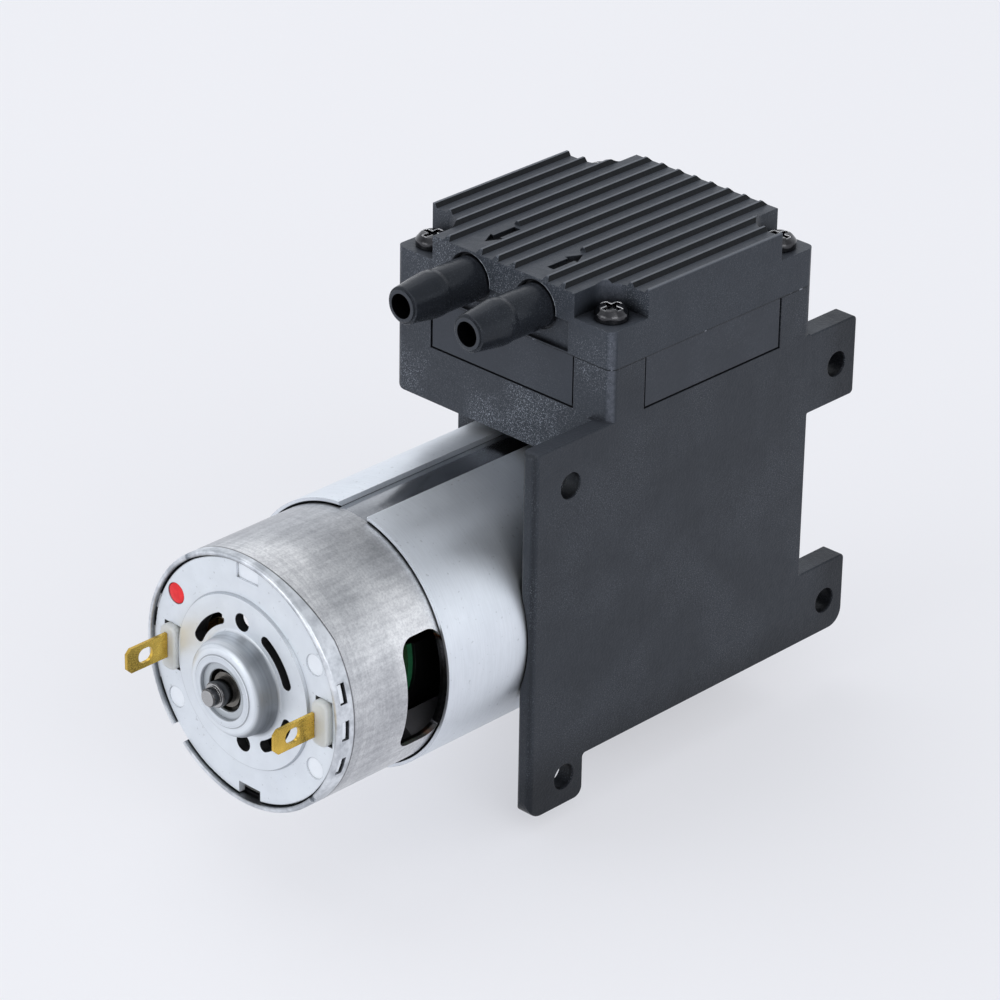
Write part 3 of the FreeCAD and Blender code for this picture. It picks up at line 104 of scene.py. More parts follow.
class Shader:
    """A node material with short calls for the nodes that this scene uses."""

    def __init__(self, name):
        self.material = bpy.data.materials.new(name)
        self.material.use_nodes = True
        self.tree = self.material.node_tree
        self.surface = self.tree.nodes["Principled BSDF"]
        self.place = self.tree.nodes.new("ShaderNodeTexCoord").outputs["Object"]

    def set(self, **values):
        for key, value in values.items():
            self.surface.inputs[key.replace("_", " ")].default_value = value

    def link(self, source, target):
        self.tree.links.new(source, target)

    def node(self, kind, **values):
        made = self.tree.nodes.new(kind)
        for key, value in values.items():
            setattr(made, key, value)
        return made

    def color(self, source):
        self.link(source, self.surface.inputs["Base Color"])

    def roughness(self, source):
        self.link(source, self.surface.inputs["Roughness"])

    # Numbers
    def math(self, operation, a, b=0.0):
        made = self.node("ShaderNodeMath", operation=operation)
        for socket, value in zip(made.inputs, (a, b)):
            if isinstance(value, (int, float)):
                socket.default_value = value
            else:
                self.link(value, socket)
        return made.outputs[0]

    def times(self, first, *others):
        for other in others:
            first = self.math("MULTIPLY", first, other)
        return first

    def most(self, first, *others):
        for other in others:
            first = self.math("MAXIMUM", first, other)
        return first

    def away(self, value, middle_value=0.0):
        """How far a number is from another one."""
        return self.math("ABSOLUTE", self.math("SUBTRACT", value, middle_value))

    def levels(self, value, low, high, to_low=0.0, to_high=1.0):
        """A number that goes from to_low to to_high as the value goes from low to high."""
        made = self.node("ShaderNodeMapRange")
        for key, number in (("From Min", low), ("From Max", high), ("To Min", to_low), ("To Max", to_high)):
            made.inputs[key].default_value = number
        self.link(value, made.inputs["Value"])
        return made.outputs["Result"]

    def within(self, value, low, high, soft=0.1 * MM):
        """1 where the value lies between low and high, falling to 0 over a short way."""
        return self.times(self.levels(value, low - soft, low),
                          self.levels(value, high, high + soft, 1.0, 0.0))

    # Places
    def stretched(self, x, y, z):
        mapping = self.node("ShaderNodeMapping")
        mapping.inputs["Scale"].default_value = (x, y, z)
        self.link(self.place, mapping.inputs["Vector"])
        return mapping.outputs["Vector"]

    def along(self, axis):
        parts = self.node("ShaderNodeSeparateXYZ")
        self.link(self.place, parts.inputs[0])
        return parts.outputs[axis]

    def past(self, axis, span, most=1.0, least=0.0):
        """Rises from least to most while the place along an axis crosses a span."""
        return self.levels(self.along(axis), *span, least, most)

    def before(self, axis, span, most=1.0, least=0.0):
        """Falls from most to least while the place along an axis crosses a span."""
        return self.levels(self.along(axis), *span, most, least)

    def from_line(self, *places):
        """The distance from a line that runs along one axis; each place is (other axis, where)."""
        squares = []
        for axis, where in places:
            off = self.math("SUBTRACT", self.along(axis), where)
            squares.append(self.times(off, off))
        return self.math("SQRT", self.math("ADD", *squares))

    def from_motor_axis(self):
        return self.from_line((X, AXIS_X), (Z, 0.0))

    # Textures and colours
    def noise(self, scale, detail=2.0, roughness=0.5, vector=None):
        """A noise texture; a scale of 1000 gives grains of about 1 mm."""
        made = self.node("ShaderNodeTexNoise")
        made.inputs["Scale"].default_value = scale
        made.inputs["Detail"].default_value = detail
        made.inputs["Roughness"].default_value = roughness
        self.link(vector or self.place, made.inputs["Vector"])
        return made.outputs["Fac"]

    def ramp(self, value, *stops):
        made = self.node("ShaderNodeValToRGB")
        elements = made.color_ramp.elements
        while len(elements) < len(stops):
            elements.new(0.5)
        for element, (at, color) in zip(elements, stops):
            element.position = at
            element.color = (*color, 1)
        self.link(value, made.inputs["Fac"])
        return made.outputs["Color"]

    def clouded(self, noise, dark, light):
        """A colour that drifts between two tones with a noise."""
        return self.ramp(noise, (NOISE_LOW, dark), (NOISE_HIGH, light))

    def varied(self, noise, low, high):
        """A number that drifts between two values with a noise."""
        return self.levels(noise, NOISE_LOW, NOISE_HIGH, low, high)

    def blend(self, factor, a, b, kind="MIX"):
        made = self.node("ShaderNodeMix", data_type="RGBA", blend_type=kind)
        for socket, value in ((made.inputs["Factor"], factor), (made.inputs["A"], a), (made.inputs["B"], b)):
            if isinstance(value, (int, float)):
                socket.default_value = value
            elif isinstance(value, tuple):
                socket.default_value = (*value, 1)
            else:
                self.link(value, socket)
        return made.outputs["Result"]

    # Shape
    def soft_edges(self, width):
        """The surface's normal with its edges rounded off, and how much each point is on an edge."""
        rounded = self.node("ShaderNodeBevel", samples=4)
        rounded.inputs["Radius"].default_value = width
        flat = self.node("ShaderNodeNewGeometry")
        dot = self.node("ShaderNodeVectorMath", operation="DOT_PRODUCT")
        self.link(rounded.outputs["Normal"], dot.inputs[0])
        self.link(flat.outputs["Normal"], dot.inputs[1])
        return rounded.outputs["Normal"], self.levels(dot.outputs["Value"], 0.80, 0.995, 1.0, 0.0)

    def facing(self):
        """The parts of the true face normal along X, Y and Z."""
        parts = self.node("ShaderNodeSeparateXYZ")
        self.link(self.node("ShaderNodeNewGeometry").outputs["True Normal"], parts.inputs[0])
        return parts.outputs

    def openness(self, reach):
        """1 on open faces, less in corners, seams and holes no wider than the reach."""
        made = self.node("ShaderNodeAmbientOcclusion", samples=8)
        made.inputs["Distance"].default_value = reach
        return made.outputs["AO"]

    def hollows(self):
        """How much a point of sheet metal lies in a corner, a slot or a hole, for painted shading."""
        return self.levels(self.openness(1.2 * MM), 0.15, 0.62, 0.9, 0.0)

    def bump(self, *layers, normal=None):
        """Each layer is (height source, strength, distance in metres)."""
        previous = normal
        for source, strength, distance in layers:
            made = self.node("ShaderNodeBump")
            made.inputs["Strength"].default_value = strength
            made.inputs["Distance"].default_value = distance
            self.link(source, made.inputs["Height"])
            if previous:
                self.link(previous, made.inputs["Normal"])
            previous = made.outputs["Normal"]
        self.link(previous, self.surface.inputs["Normal"])


def scaled(tone, factor):
    return tuple(min(1.0, part * factor) for part in tone)


# Moulded plastic
# The pale speckle is partly the plastic's filler and partly painted glints.
FILLER_AND_GLINT_TONE = (0.32, 0.35, 0.40)
WORN_AND_LIT_EDGE = (0.08, 0.086, 0.10)
LIT_LEVEL_PLASTIC = (0.080, 0.088, 0.105)
LIT_FRONT_PLASTIC = (0.070, 0.078, 0.094)
CORNER_HIGHLIGHT = (0.11, 0.12, 0.145)
SEAM_FLECKS = (0.30, 0.32, 0.36)
SHADE_AND_SEAM_BLACK = (0.0015, 0.0015, 0.002)
PLASTIC_EDGE = 0.14 * MM
NARROW_REACH, WIDE_REACH = 1.6 * MM, 5.0 * MM
HEAD_START = (HEAD_FRONT - 0.2 * MM, HEAD_FRONT)
NOZZLE_GLOSS = 0.16


def moulded_plastic(name, tone, speckle, roughness, grain, thin_speckle=(), details=None,
                    glossy_nozzles=False):
    """Black glass-filled plastic: a fine pale speckle, partly the filler and partly painted glints, a slight
    sheen, edges lighter from wear and a painted highlight, painted light on level and front faces, and
    painted shading in hollows.

    Each function in thin_speckle gives a factor for the speckle. The function details adds what only
    one piece has to the colour and to the painted shading and seam line."""
    shader = Shader(name)
    normal, edges = shader.soft_edges(PLASTIC_EDGE)
    base = shader.clouded(shader.noise(140, 4.0, 0.6), scaled(tone, 0.92), scaled(tone, 1.08))
    filler_and_glint_specks = shader.levels(shader.noise(5200, 2.0, 0.7), 0.54, 0.70)
    patches = shader.levels(shader.noise(75), 0.40, 0.62, 0.15, 1.0)
    patches = shader.times(patches, *(factor(shader) for factor in thin_speckle))
    # Edges get more speckle, as a painted highlight.
    amount = shader.math("ADD", shader.times(patches, speckle), shader.times(edges, 0.5))
    base = shader.blend(shader.times(filler_and_glint_specks, amount), base, FILLER_AND_GLINT_TONE)
    # Lighter edges: partly wear, partly a painted highlight.
    base = shader.blend(shader.times(edges, 0.45), base, WORN_AND_LIT_EDGE)

    facing = shader.facing()
    level = shader.levels(facing[Z], 0.90, 0.98)
    # Painted light: level faces are lighter.
    base = shader.blend(shader.times(level, 0.32), base, LIT_LEVEL_PLASTIC)
    # Painted light: faces towards the motor's end are lighter.
    base = shader.blend(shader.levels(facing[Y], -0.98, -0.90, 0.20, 0.0), base, LIT_FRONT_PLASTIC)
    # Painted highlight on the upright corners.
    base = shader.blend(painted_corner_highlight(shader, facing), base, CORNER_HIGHLIGHT)
    seam, seam_flecks = seam_line(shader, facing)
    base = shader.blend(seam_flecks, base, SEAM_FLECKS)

    # Painted shading in corners, recesses and holes, from ambient occlusion; the seam line is added to it.
    narrow = shader.levels(shader.openness(NARROW_REACH), 0.25, 0.70, 0.95, 0.0)
    wide = shader.levels(shader.openness(WIDE_REACH), 0.25, 0.72, 0.95, 0.0)
    shade_and_seam = shader.most(narrow, wide, seam)
    if details:
        base, shade_and_seam = details(shader, base, shade_and_seam, facing, level)
    shader.color(shader.blend(shade_and_seam, base, SHADE_AND_SEAM_BLACK))

    shader.set(Specular_IOR_Level=0.22, Specular_Tint=(0.84, 0.91, 1.0, 1.0))
    rough = shader.varied(shader.noise(700, 3.0), roughness - 0.05, roughness + 0.09)
    if glossy_nozzles:
        rough = shader.math("SUBTRACT", rough, shader.times(shader.before(Y, HEAD_START), NOZZLE_GLOSS))
    shader.roughness(rough)
    shader.bump((shader.noise(240), 0.10, 0.25 * MM), (shader.noise(1900, 3.0, 0.7), grain, 0.12 * MM),
                normal=normal)
    return shader.material


def painted_corner_highlight(shader, facing):
    """A painted highlight in flecks on the head's upright corners towards the nozzles and the plate."""
    corner = shader.levels(shader.times(facing[X], facing[Y]), -0.45, -0.20, 0.55, 0.0)
    flecks = shader.levels(shader.noise(1300, 3.0, 0.7), 0.35, 0.60, 0.45, 1.0)
    return shader.times(corner, flecks, shader.past(Y, HEAD_START))


def seam_line(shader, facing):
    """The dark broken line where the cover meets what is under it, and the pale flecks in it."""
    upright = shader.levels(shader.away(facing[Z]), 0.3, 0.6, 1.0, 0.0)
    from_seam = shader.away(shader.along(Z), SEAM_Z)
    seam = shader.times(shader.levels(from_seam, 0.07 * MM, 0.15 * MM, 1.0, 0.0), upright)
    breaks = shader.noise(650, 3.0, 0.6)
    flecks = shader.times(seam, shader.levels(breaks, 0.63, 0.68, 0.0, 0.8))
    return shader.times(seam, 0.85, shader.levels(breaks, 0.60, 0.63, 1.0, 0.2)), flecks


def more_glints_ahead(shader):
    """More speckle on the faces towards the motor's end, as painted glints."""
    return shader.levels(shader.facing()[Y], -0.9, -0.5, 1.5, 0.30)


# The cover's ribs, arrows and nozzles
RIB_CREST_HIGHLIGHT = (0.11, 0.12, 0.14)
RECESS_RIM_HIGHLIGHT = (0.50, 0.54, 0.60)
NOZZLE_LIP_HIGHLIGHT = (0.10, 0.11, 0.13)
CREST_Z = (LAND_Z + 0.50 * MM, LAND_Z + 0.62 * MM)
FLANK_Z = (LAND_Z - 0.2 * MM, LAND_Z - 0.05 * MM)
ARROW_FLOOR_Z = (LAND_Z - 0.8 * MM, LAND_Z - 0.2 * MM)
NOZZLE_X = tuple(middle(cover_low.x, cover_high.x) + side * 7.15 * MM for side in (-1, 1))
NOZZLE_Z = LAND_Z - 4.7 * MM
NOZZLE_ROOT_Y = (HEAD_FRONT - 0.4 * MM, HEAD_FRONT - 0.2 * MM)
RECESS_RIM_R = (4.0 * MM, 4.4 * MM)
RECESS_RIM_Y = (HEAD_FRONT - 0.15 * MM, HEAD_FRONT + 0.4 * MM)
RECESS_LIT_WIDTH = 2.5 * MM
LIP_R = (2.1 * MM, 2.6 * MM)
LIP_Y = (cover_low.y - MM, cover_low.y + 0.15 * MM)
BORE_R = (2.08 * MM, 2.16 * MM)
BORE_END_Y = (HEAD_FRONT, HEAD_FRONT + MM)


def cover_details(shader, base, shade_and_seam, facing, level):
    """Painted highlight on the rib crests, on the lit side of each nozzle's recess rim and on the nozzle
    lips;
    painted shading on the ribs' sloping sides, in the sunk arrows, over the nozzles and in their bores.
    """
    # Painted highlight on the rib crests.
    base = shader.blend(shader.past(Z, CREST_Z, 0.7), base, RIB_CREST_HIGHLIGHT)
    # Painted shading on the ribs' sloping sides, in the sunk arrows' floors and over the nozzles.
    sloped = shader.levels(shader.times(facing[X], facing[Z]), 0.12, 0.30)
    shaded_flanks = shader.times(sloped, shader.past(Z, FLANK_Z))
    arrows = shader.times(level, shader.within(shader.along(Z), *ARROW_FLOOR_Z), 0.95)
    shade_and_seam = shader.most(shade_and_seam, shaded_flanks, shader.before(Y, NOZZLE_ROOT_Y, 0.5), arrows)
    for x in NOZZLE_X:
        from_bore = shader.from_line((X, x), (Z, NOZZLE_Z))
        at_front = shader.within(shader.along(Y), *RECESS_RIM_Y)
        lit_side = shader.past(X, (x, x + RECESS_LIT_WIDTH), 1.0, 0.05)
        flecks = shader.levels(shader.noise(1500, 3.0, 0.7), 0.40, 0.60, 0.25, 1.0)
        # Painted highlight in flecks on the recess rim's lit side.
        rim = shader.times(shader.within(from_bore, *RECESS_RIM_R), at_front, lit_side, flecks)
        base = shader.blend(rim, base, RECESS_RIM_HIGHLIGHT)
        # Painted highlight on the nozzle's lip.
        lip = shader.times(shader.within(shader.along(Y), *LIP_Y), shader.within(from_bore, *LIP_R), 0.5)
        base = shader.blend(lip, base, NOZZLE_LIP_HIGHLIGHT)
        # Painted shading in the nozzle's bore.
        bore = shader.times(shader.levels(from_bore, *BORE_R, 1.0, 0.0), shader.before(Y, BORE_END_Y))
        shade_and_seam = shader.most(shade_and_seam, bore)
    return base, shade_and_seam


# The body's foot, lugs and plate
# Where the body's painted shading fades in
FOOT_Z = (body_low.z + 6 * MM, body_low.z + 14 * MM)
LUGS_Y = (body_high.y - 9 * MM, body_high.y - 4 * MM)
PLATE_EDGE_Y = (body_low.y + 0.3 * MM, body_low.y + 0.6 * MM)
PLATE_HOLES = [(mount["pos_m"][Y], mount["pos_m"][Z] + side * mount["dims"]["spacing_y_mm"] * MM / 2)
               for mount in frame["record"]["mounts"] if mount["kind"] == "bolt_pattern" for side in (-1, 1)]
PLATE_HOLE_R = (2.29 * MM, 2.33 * MM)
PLATE_HOLE_X = (-0.5 * MM, -0.1 * MM)


def less_at_plate_edge(shader):
    """Less speckle on the plate's edge beside the motor."""
    return shader.past(Y, PLATE_EDGE_Y, 1.0, 0.35)


def body_details(shader, base, shade_and_seam, facing, level):
    """Painted shading on the foot, the lugs, the plate's edge beside the motor, and inside the plate's
    holes.
    """
    shade_and_seam = shader.most(shade_and_seam, shader.before(Z, FOOT_Z, 0.60), shader.past(Y, LUGS_Y, 0.48),
                        shader.before(Y, PLATE_EDGE_Y, 0.35))
    # Painted shading inside the plate's holes.
    deep = shader.before(X, PLATE_HOLE_X, 0.9)
    for y, z in PLATE_HOLES:
        hole = shader.levels(shader.from_line((Y, y), (Z, z)), *PLATE_HOLE_R, 1.0, 0.0)
        shade_and_seam = shader.most(shade_and_seam, shader.times(hole, deep))
    return base, shade_and_seam


def black_screw():
    """Blackened steel with a hard gloss and a painted highlight along its edges."""
    shader = Shader("black_screw")
    normal, edges = shader.soft_edges(0.28 * MM)
    clouds = shader.noise(600, 3.0)
    base = shader.clouded(clouds, (0.045, 0.045, 0.048), (0.09, 0.09, 0.095))
    # Painted highlight: the edges are near white.
    shader.color(shader.blend(edges, base, (0.95, 0.95, 0.96)))
    shader.roughness(shader.varied(clouds, 0.08, 0.16))
    shader.bump((clouds, 0.03, 0.03 * MM), normal=normal)
    shader.set(Metallic=1.0)
    return shader.material


# The motor's can
SHADED_STEEL = (0.03, 0.03, 0.033)
GROOVE_SHADE = (0.06, 0.06, 0.07)
COVERED_STEEL_REFLECTION = (0.36, 0.38, 0.41)
MARKED_Y = (CAN_REAR + 2 * MM, CAN_REAR + 9 * MM)
GROOVE_SIDE_Y, GROOVE_TOP_Y = CAN_REAR + 3.3 * MM, CAN_REAR + 1.5 * MM
GROOVE_HALF_WIDTH = (0.07 * MM, 0.17 * MM)
RIM_FADE = 0.3 * MM
CAN_WALL_R = (CAN_R - 0.9 * MM, CAN_R - 0.6 * MM)
BEHIND_CAP_Y = (CAP_FACE + 0.5 * MM, CAP_FACE + 1.0 * MM)
COVERED_Y = (RING_REAR, RING_REAR + 0.2 * MM)


def can_steel():
    """Drawn steel can: broad dull patches, faint marks rolled round it and a groove near its rim, with
    painted shading in the groove, on the inside and in hollows, and a painted dark reflection under the
    ring.
    """
    shader = Shader("can_steel")
    rolled = shader.noise(1.0, 4.0, 0.6, shader.stretched(45, 1500, 45))
    fine = shader.noise(1.0, 3.0, 0.6, shader.stretched(260, 6000, 260))
    bands = shader.noise(1.0, 2.0, 0.5, shader.stretched(42, 55, 34))
    brushed = shader.noise(1.0, 3.0, 0.6, shader.stretched(900, 110, 900))
    mottled = shader.noise(800, 4.0, 0.7)
    tone = shader.ramp(bands, (0.38, (0.54, 0.55, 0.57)), (0.50, (0.70, 0.71, 0.725)),
                       (0.62, (0.96, 0.965, 0.97)))
    streaks = shader.ramp(brushed, (0.38, (0.80, 0.80, 0.81)), (0.58, WHITE))
    grain = shader.ramp(mottled, (0.35, (0.72, 0.73, 0.74)), (0.65, WHITE))
    lines = shader.ramp(rolled, (0.36, (0.80, 0.805, 0.815)), (0.60, WHITE))
    speckled = shader.ramp(shader.noise(2600, 2.0, 0.7), (0.35, (0.80, 0.80, 0.81)), (0.60, WHITE))
    base = shader.blend(0.7, tone, streaks, "MULTIPLY")
    base = shader.blend(0.4, base, grain, "MULTIPLY")
    base = shader.blend(shader.before(Y, MARKED_Y, 0.95, 0.35), base, lines, "MULTIPLY")
    base = shader.blend(0.9, base, speckled, "MULTIPLY")

    groove_y = shader.before(Z, (0.6 * CAN_R, CAN_R), GROOVE_SIDE_Y, GROOVE_TOP_Y)
    past_groove = shader.math("SUBTRACT", shader.along(Y), groove_y)
    worn = shader.ramp(shader.noise(230, 4.0, 0.65), (0.36, (0.44, 0.465, 0.50)), (0.62, (0.80, 0.83, 0.87)))
    base = shader.blend(shader.levels(past_groove, -RIM_FADE, 0.0, 1.0, 0.0), base, worn)
    groove = shader.levels(shader.away(past_groove), *GROOVE_HALF_WIDTH, 1.0, 0.0)
    # Painted shading in the groove.
    base = shader.blend(shader.times(groove, 0.75), base, GROOVE_SHADE)

    # Painted shading on the can's inside wall.
    inside = shader.levels(shader.from_motor_axis(), *CAN_WALL_R, 1.0, 0.0)
    base = shader.blend(shader.times(inside, shader.past(Y, BEHIND_CAP_Y, 1.0, 0.5)), base, SHADED_STEEL)
    # Under the ring the steel is smoother, and darker as a painted reflection of the dark head.
    covered = shader.past(Y, COVERED_Y, 0.24)
    base = shader.blend(shader.times(covered, 2.6), base, COVERED_STEEL_REFLECTION)
    # Painted shading in corners, slots and holes.
    shader.color(shader.blend(shader.hollows(), base, SHADED_STEEL))
    shader.roughness(shader.math("SUBTRACT", shader.varied(bands, 0.36, 0.46), covered))
    shader.bump((rolled, 0.05, 0.04 * MM), (fine, 0.06, 0.03 * MM), (mottled, 0.12, 0.12 * MM),
                (shader.times(groove, -1.0), 0.5, 0.1 * MM))
    shader.set(Metallic=1.0)
    return shader.material


# The flux ring and the motor's end cap
STEP_LINE = (0.25, 0.27, 0.30)
PRESSED_ZINC = (0.92, 0.94, 0.97)
DISH_ZINC = (0.34, 0.37, 0.39)
BOSS_LINE = (0.16, 0.17, 0.19)
SHOULDER_SHADING = (0.07, 0.08, 0.095)
VENT_SHADING = (0.008, 0.008, 0.009)
ZINC_EDGE_SHADING = (0.22, 0.23, 0.25)
PRESSED_Y = (CAP_FACE + 0.05 * MM, CAP_FACE + 0.15 * MM)
INWARD_Y = (CAP_FACE + 0.1 * MM, CAP_FACE + 0.3 * MM)
STEP_R = 14.5 * MM
STEP_HALF_WIDTH = (0.05 * MM, 0.22 * MM)
BOSS_R = (8.4 * MM, 8.7 * MM)
BOSS_LINE_R = (4.75 * MM, 6.0 * MM)
BOSS_LINE_HALF_WIDTH = 0.06 * MM
DISH_R = (3.4 * MM, 4.6 * MM)
SHOULDER_R = (7.70 * MM, 8.35 * MM)
SHOULDER_FADE = 0.65 * MM
SHOULDER_X = (AXIS_X - 2 * MM, AXIS_X + 5 * MM)
VENTS_R = (8.9 * MM, 12.4 * MM)
TURNED_SCALE = 2600.0


def zinc(name, light, dark, rough, metallic=1.0, details=None):
    """Pale bluish zinc plate with soft mottling, specks and fine scratches, and painted shading on its
    edges and in hollows.
    """
    shader = Shader(name)
    normal, edges = shader.soft_edges(0.15 * MM)
    mottled = shader.noise(90, 4.0, 0.6)
    scratches = shader.noise(1.0, 2.0, 0.5, shader.stretched(300, 4000, 300))
    specks = shader.levels(shader.noise(1500, 1.0), 0.22, 0.30, 0.35, 1.0)
    tone = shader.clouded(mottled, dark, light)
    tone = shader.blend(0.12, tone, shader.ramp(scratches, (0.4, (0.7, 0.7, 0.7)), (0.6, WHITE)), "MULTIPLY")
    tone = shader.blend(0.3, tone, specks, "MULTIPLY")
    finish = shader.varied(mottled, rough + 0.05, rough - 0.05)
    if details:
        tone, finish = details(shader, tone, finish)
    # Painted shading along the edges.
    tone = shader.blend(shader.times(edges, 0.55), tone, ZINC_EDGE_SHADING)
    # Painted shading in corners, slots and holes.
    shader.color(shader.blend(shader.hollows(), tone, SHADED_STEEL))
    shader.roughness(finish)
    shader.bump((scratches, 0.04, 0.03 * MM), (mottled, 0.04, 0.4 * MM), normal=normal)
    shader.set(Metallic=metallic)
    return shader.material


def cap_details(shader, tone, finish):
    """Paler where the cap is pressed in, with a drawn step and a turned boss; painted shading on one side
    of the boss's shoulder and in the vents.
    """
    pressed = shader.past(Y, PRESSED_Y)
    tone = shader.blend(shader.times(pressed, 0.5), tone, PRESSED_ZINC)
    finish = shader.math("ADD", finish, shader.times(pressed, 0.2))
    radius = shader.from_motor_axis()
    step = shader.levels(shader.away(radius, STEP_R), *STEP_HALF_WIDTH, 0.45, 0.0)
    tone = shader.blend(step, tone, STEP_LINE)

    turned = shader.node("ShaderNodeCombineXYZ")
    shader.link(shader.times(radius, TURNED_SCALE), turned.inputs[0])
    shader.link(shader.times(shader.along(Y), TURNED_SCALE), turned.inputs[1])
    rings = shader.ramp(shader.noise(1.0, 3.0, 0.6, turned.outputs[0]), (0.35, (0.76, 0.77, 0.79)),
                        (0.55, WHITE))
    tone = shader.blend(shader.levels(radius, *BOSS_R, 0.8, 0.0), tone, rings, "MULTIPLY")
    tone = shader.blend(shader.times(shader.within(radius, *DISH_R), 0.55), tone, DISH_ZINC)
    for line_r in BOSS_LINE_R:
        line = shader.within(radius, line_r - BOSS_LINE_HALF_WIDTH, line_r + BOSS_LINE_HALF_WIDTH,
                             BOSS_LINE_HALF_WIDTH)
        tone = shader.blend(shader.times(line, 0.55), tone, BOSS_LINE)
    # Painted shading on the boss's shoulder, darker towards +X.
    shoulder = shader.within(radius, *SHOULDER_R, SHOULDER_FADE)
    tone = shader.blend(shader.times(shoulder, shader.past(X, SHOULDER_X, 0.78, 0.12)), tone, SHOULDER_SHADING)

    # Painted shading on the vents' walls and on what lies behind them.
    walls = shader.levels(shader.away(shader.facing()[Y]), 0.3, 0.6, 0.97, 0.0)
    deep = shader.most(walls, shader.past(Y, INWARD_Y, 0.97))
    return shader.blend(shader.times(deep, shader.within(radius, *VENTS_R)), tone, VENT_SHADING), finish


def metal(name, tone, roughness, brushed=(1500, 1500, 1500), variation=0.15, worn=0.0,
          edge_tone=(0.9, 0.9, 0.9), lit_end_tone=None):
    """Plain metal with a little colour variation and a fine brushed grain; its edges may carry painted light
    in a tone of their own, and its rear end face a painted highlight."""
    shader = Shader(name)
    normal, edges = shader.soft_edges(0.10 * MM)
    grain = shader.noise(1.0, 3.0, 0.6, shader.stretched(*brushed))
    base = shader.clouded(shader.noise(250, 3.0), scaled(tone, 1 - variation), scaled(tone, 1 + variation))
    # Painted light on the edges, in the edge tone.
    if worn:
        base = shader.blend(shader.times(edges, worn), base, edge_tone)
    # Painted highlight on the end face.
    if lit_end_tone:
        base = shader.blend(shader.levels(shader.facing()[Y], -0.95, -0.85, 1.0, 0.0), base, lit_end_tone)
    shader.color(base)
    shader.roughness(shader.varied(grain, roughness - 0.05, roughness + 0.07))
    shader.bump((grain, 0.08, 0.03 * MM), normal=normal)
    shader.set(Metallic=1.0)
    return shader.material


def soft(name, tone, roughness):
    """Rubber or plain plastic with a fine grain."""
    shader = Shader(name)
    shader.color(shader.clouded(shader.noise(200, 3.0), scaled(tone, 0.8), scaled(tone, 1.2)))
    fine = shader.noise(1800, 3.0, 0.6)
    shader.roughness(shader.varied(fine, roughness - 0.06, roughness + 0.08))
    shader.bump((fine, 0.15, 0.04 * MM))
    return shader.material


def milky_nylon():
    """Milky nylon, with painted shading on its part inside the motor."""
    shader = Shader("nylon")
    base = shader.clouded(shader.noise(180, 3.0), (0.70, 0.72, 0.70), (0.82, 0.84, 0.81))
    # Painted shading inside the motor.
    shaded_inside = shader.past(Y, (CAP_FACE + 0.9 * MM, CAP_FACE + 1.15 * MM), 0.93)
    shader.color(shader.blend(shaded_inside, base, (0.04, 0.04, 0.04)))
    shader.roughness(shader.varied(shader.noise(900), 0.28, 0.40))
    shader.bump((shader.noise(1500), 0.05, 0.04 * MM))
    shader.set(Transmission_Weight=0.35, IOR=1.5)
    shader.set(Subsurface_Weight=0.5, Subsurface_Radius=(0.002, 0.002, 0.0018), Subsurface_Scale=1.0)
    return shader.material


MATERIALS = {
    "body_plastic": moulded_plastic("body_plastic", (0.0235, 0.0265, 0.0325), 0.90, 0.38, 0.55,
                                    (more_glints_ahead, less_at_plate_edge), body_details),
    "panel_plastic": moulded_plastic("panel_plastic", (0.0290, 0.0325, 0.0400), 0.15, 0.34, 0.20),
    "cover_plastic": moulded_plastic("cover_plastic", (0.0255, 0.0295, 0.0370), 0.60, 0.34, 0.45,
                                     (more_glints_ahead,), cover_details, glossy_nozzles=True),
    "black_rubber": soft("black_rubber", (0.022, 0.022, 0.024), 0.7),
    "black_screw": black_screw(),
    "can_steel": can_steel(),
    "ring_zinc": zinc("ring_zinc", (0.82, 0.86, 0.91), (0.76, 0.80, 0.85), 0.46),
    "cap_zinc": zinc("cap_zinc", (0.77, 0.815, 0.855), (0.71, 0.75, 0.80), 0.44, 0.7, cap_details),
    "nylon": milky_nylon(),
    "bronze": metal("bronze", (0.50, 0.32, 0.16), 0.5),
    # Edge tones below are painted light: highlights on bearing and shaft edges and the shaft's end, shading
    # on the terminals' edges.
    "bearing_steel": metal("bearing_steel", (0.16, 0.15, 0.135), 0.30, worn=0.3),
    "retainer_plastic": soft("retainer_plastic", (0.10, 0.10, 0.11), 0.45),
    "diaphragm_rubber": soft("diaphragm_rubber", (0.03, 0.03, 0.033), 0.65),
    "terminal_brass": metal("terminal_brass", (0.66, 0.44, 0.085), 0.26, (300, 3000, 3000), 0.25, worn=0.8,
                            edge_tone=(0.28, 0.18, 0.03)),
    "carbon": soft("carbon", (0.05, 0.05, 0.05), 0.6),
    "spring_brass": metal("spring_brass", (0.25, 0.17, 0.07), 0.3),
    "ferrite": soft("ferrite", (0.05, 0.05, 0.055), 0.6),
    "shaft_steel": metal("shaft_steel", (0.09, 0.09, 0.093), 0.18, (400, 6000, 400), worn=0.75,
                         lit_end_tone=(0.42, 0.42, 0.42)),
    "laminations": metal("laminations", (0.03, 0.03, 0.032), 0.45, (200, 9000, 200)),
    "insulator_green": soft("insulator_green", (0.012, 0.10, 0.04), 0.4),
    "copper_wire": metal("copper_wire", (0.30, 0.11, 0.045), 0.32),
    "commutator_copper": metal("commutator_copper", (0.66, 0.35, 0.20), 0.3),
    "hub_steel": metal("hub_steel", (0.46, 0.46, 0.48), 0.32),
    "rod_plastic": soft("rod_plastic", (0.07, 0.07, 0.08), 0.45),
    "clamp_aluminium": metal("clamp_aluminium", (0.72, 0.72, 0.73), 0.3),
    "flap_rubber": soft("flap_rubber", (0.03, 0.03, 0.03), 0.6),
}


def dress_nodes():
    for part in frame["record"]["subparts"]:
        mesh = frame["nodes"][part["node"]].data
        mesh.materials.clear()
        mesh.materials.append(MATERIALS[part["material_slot"]])


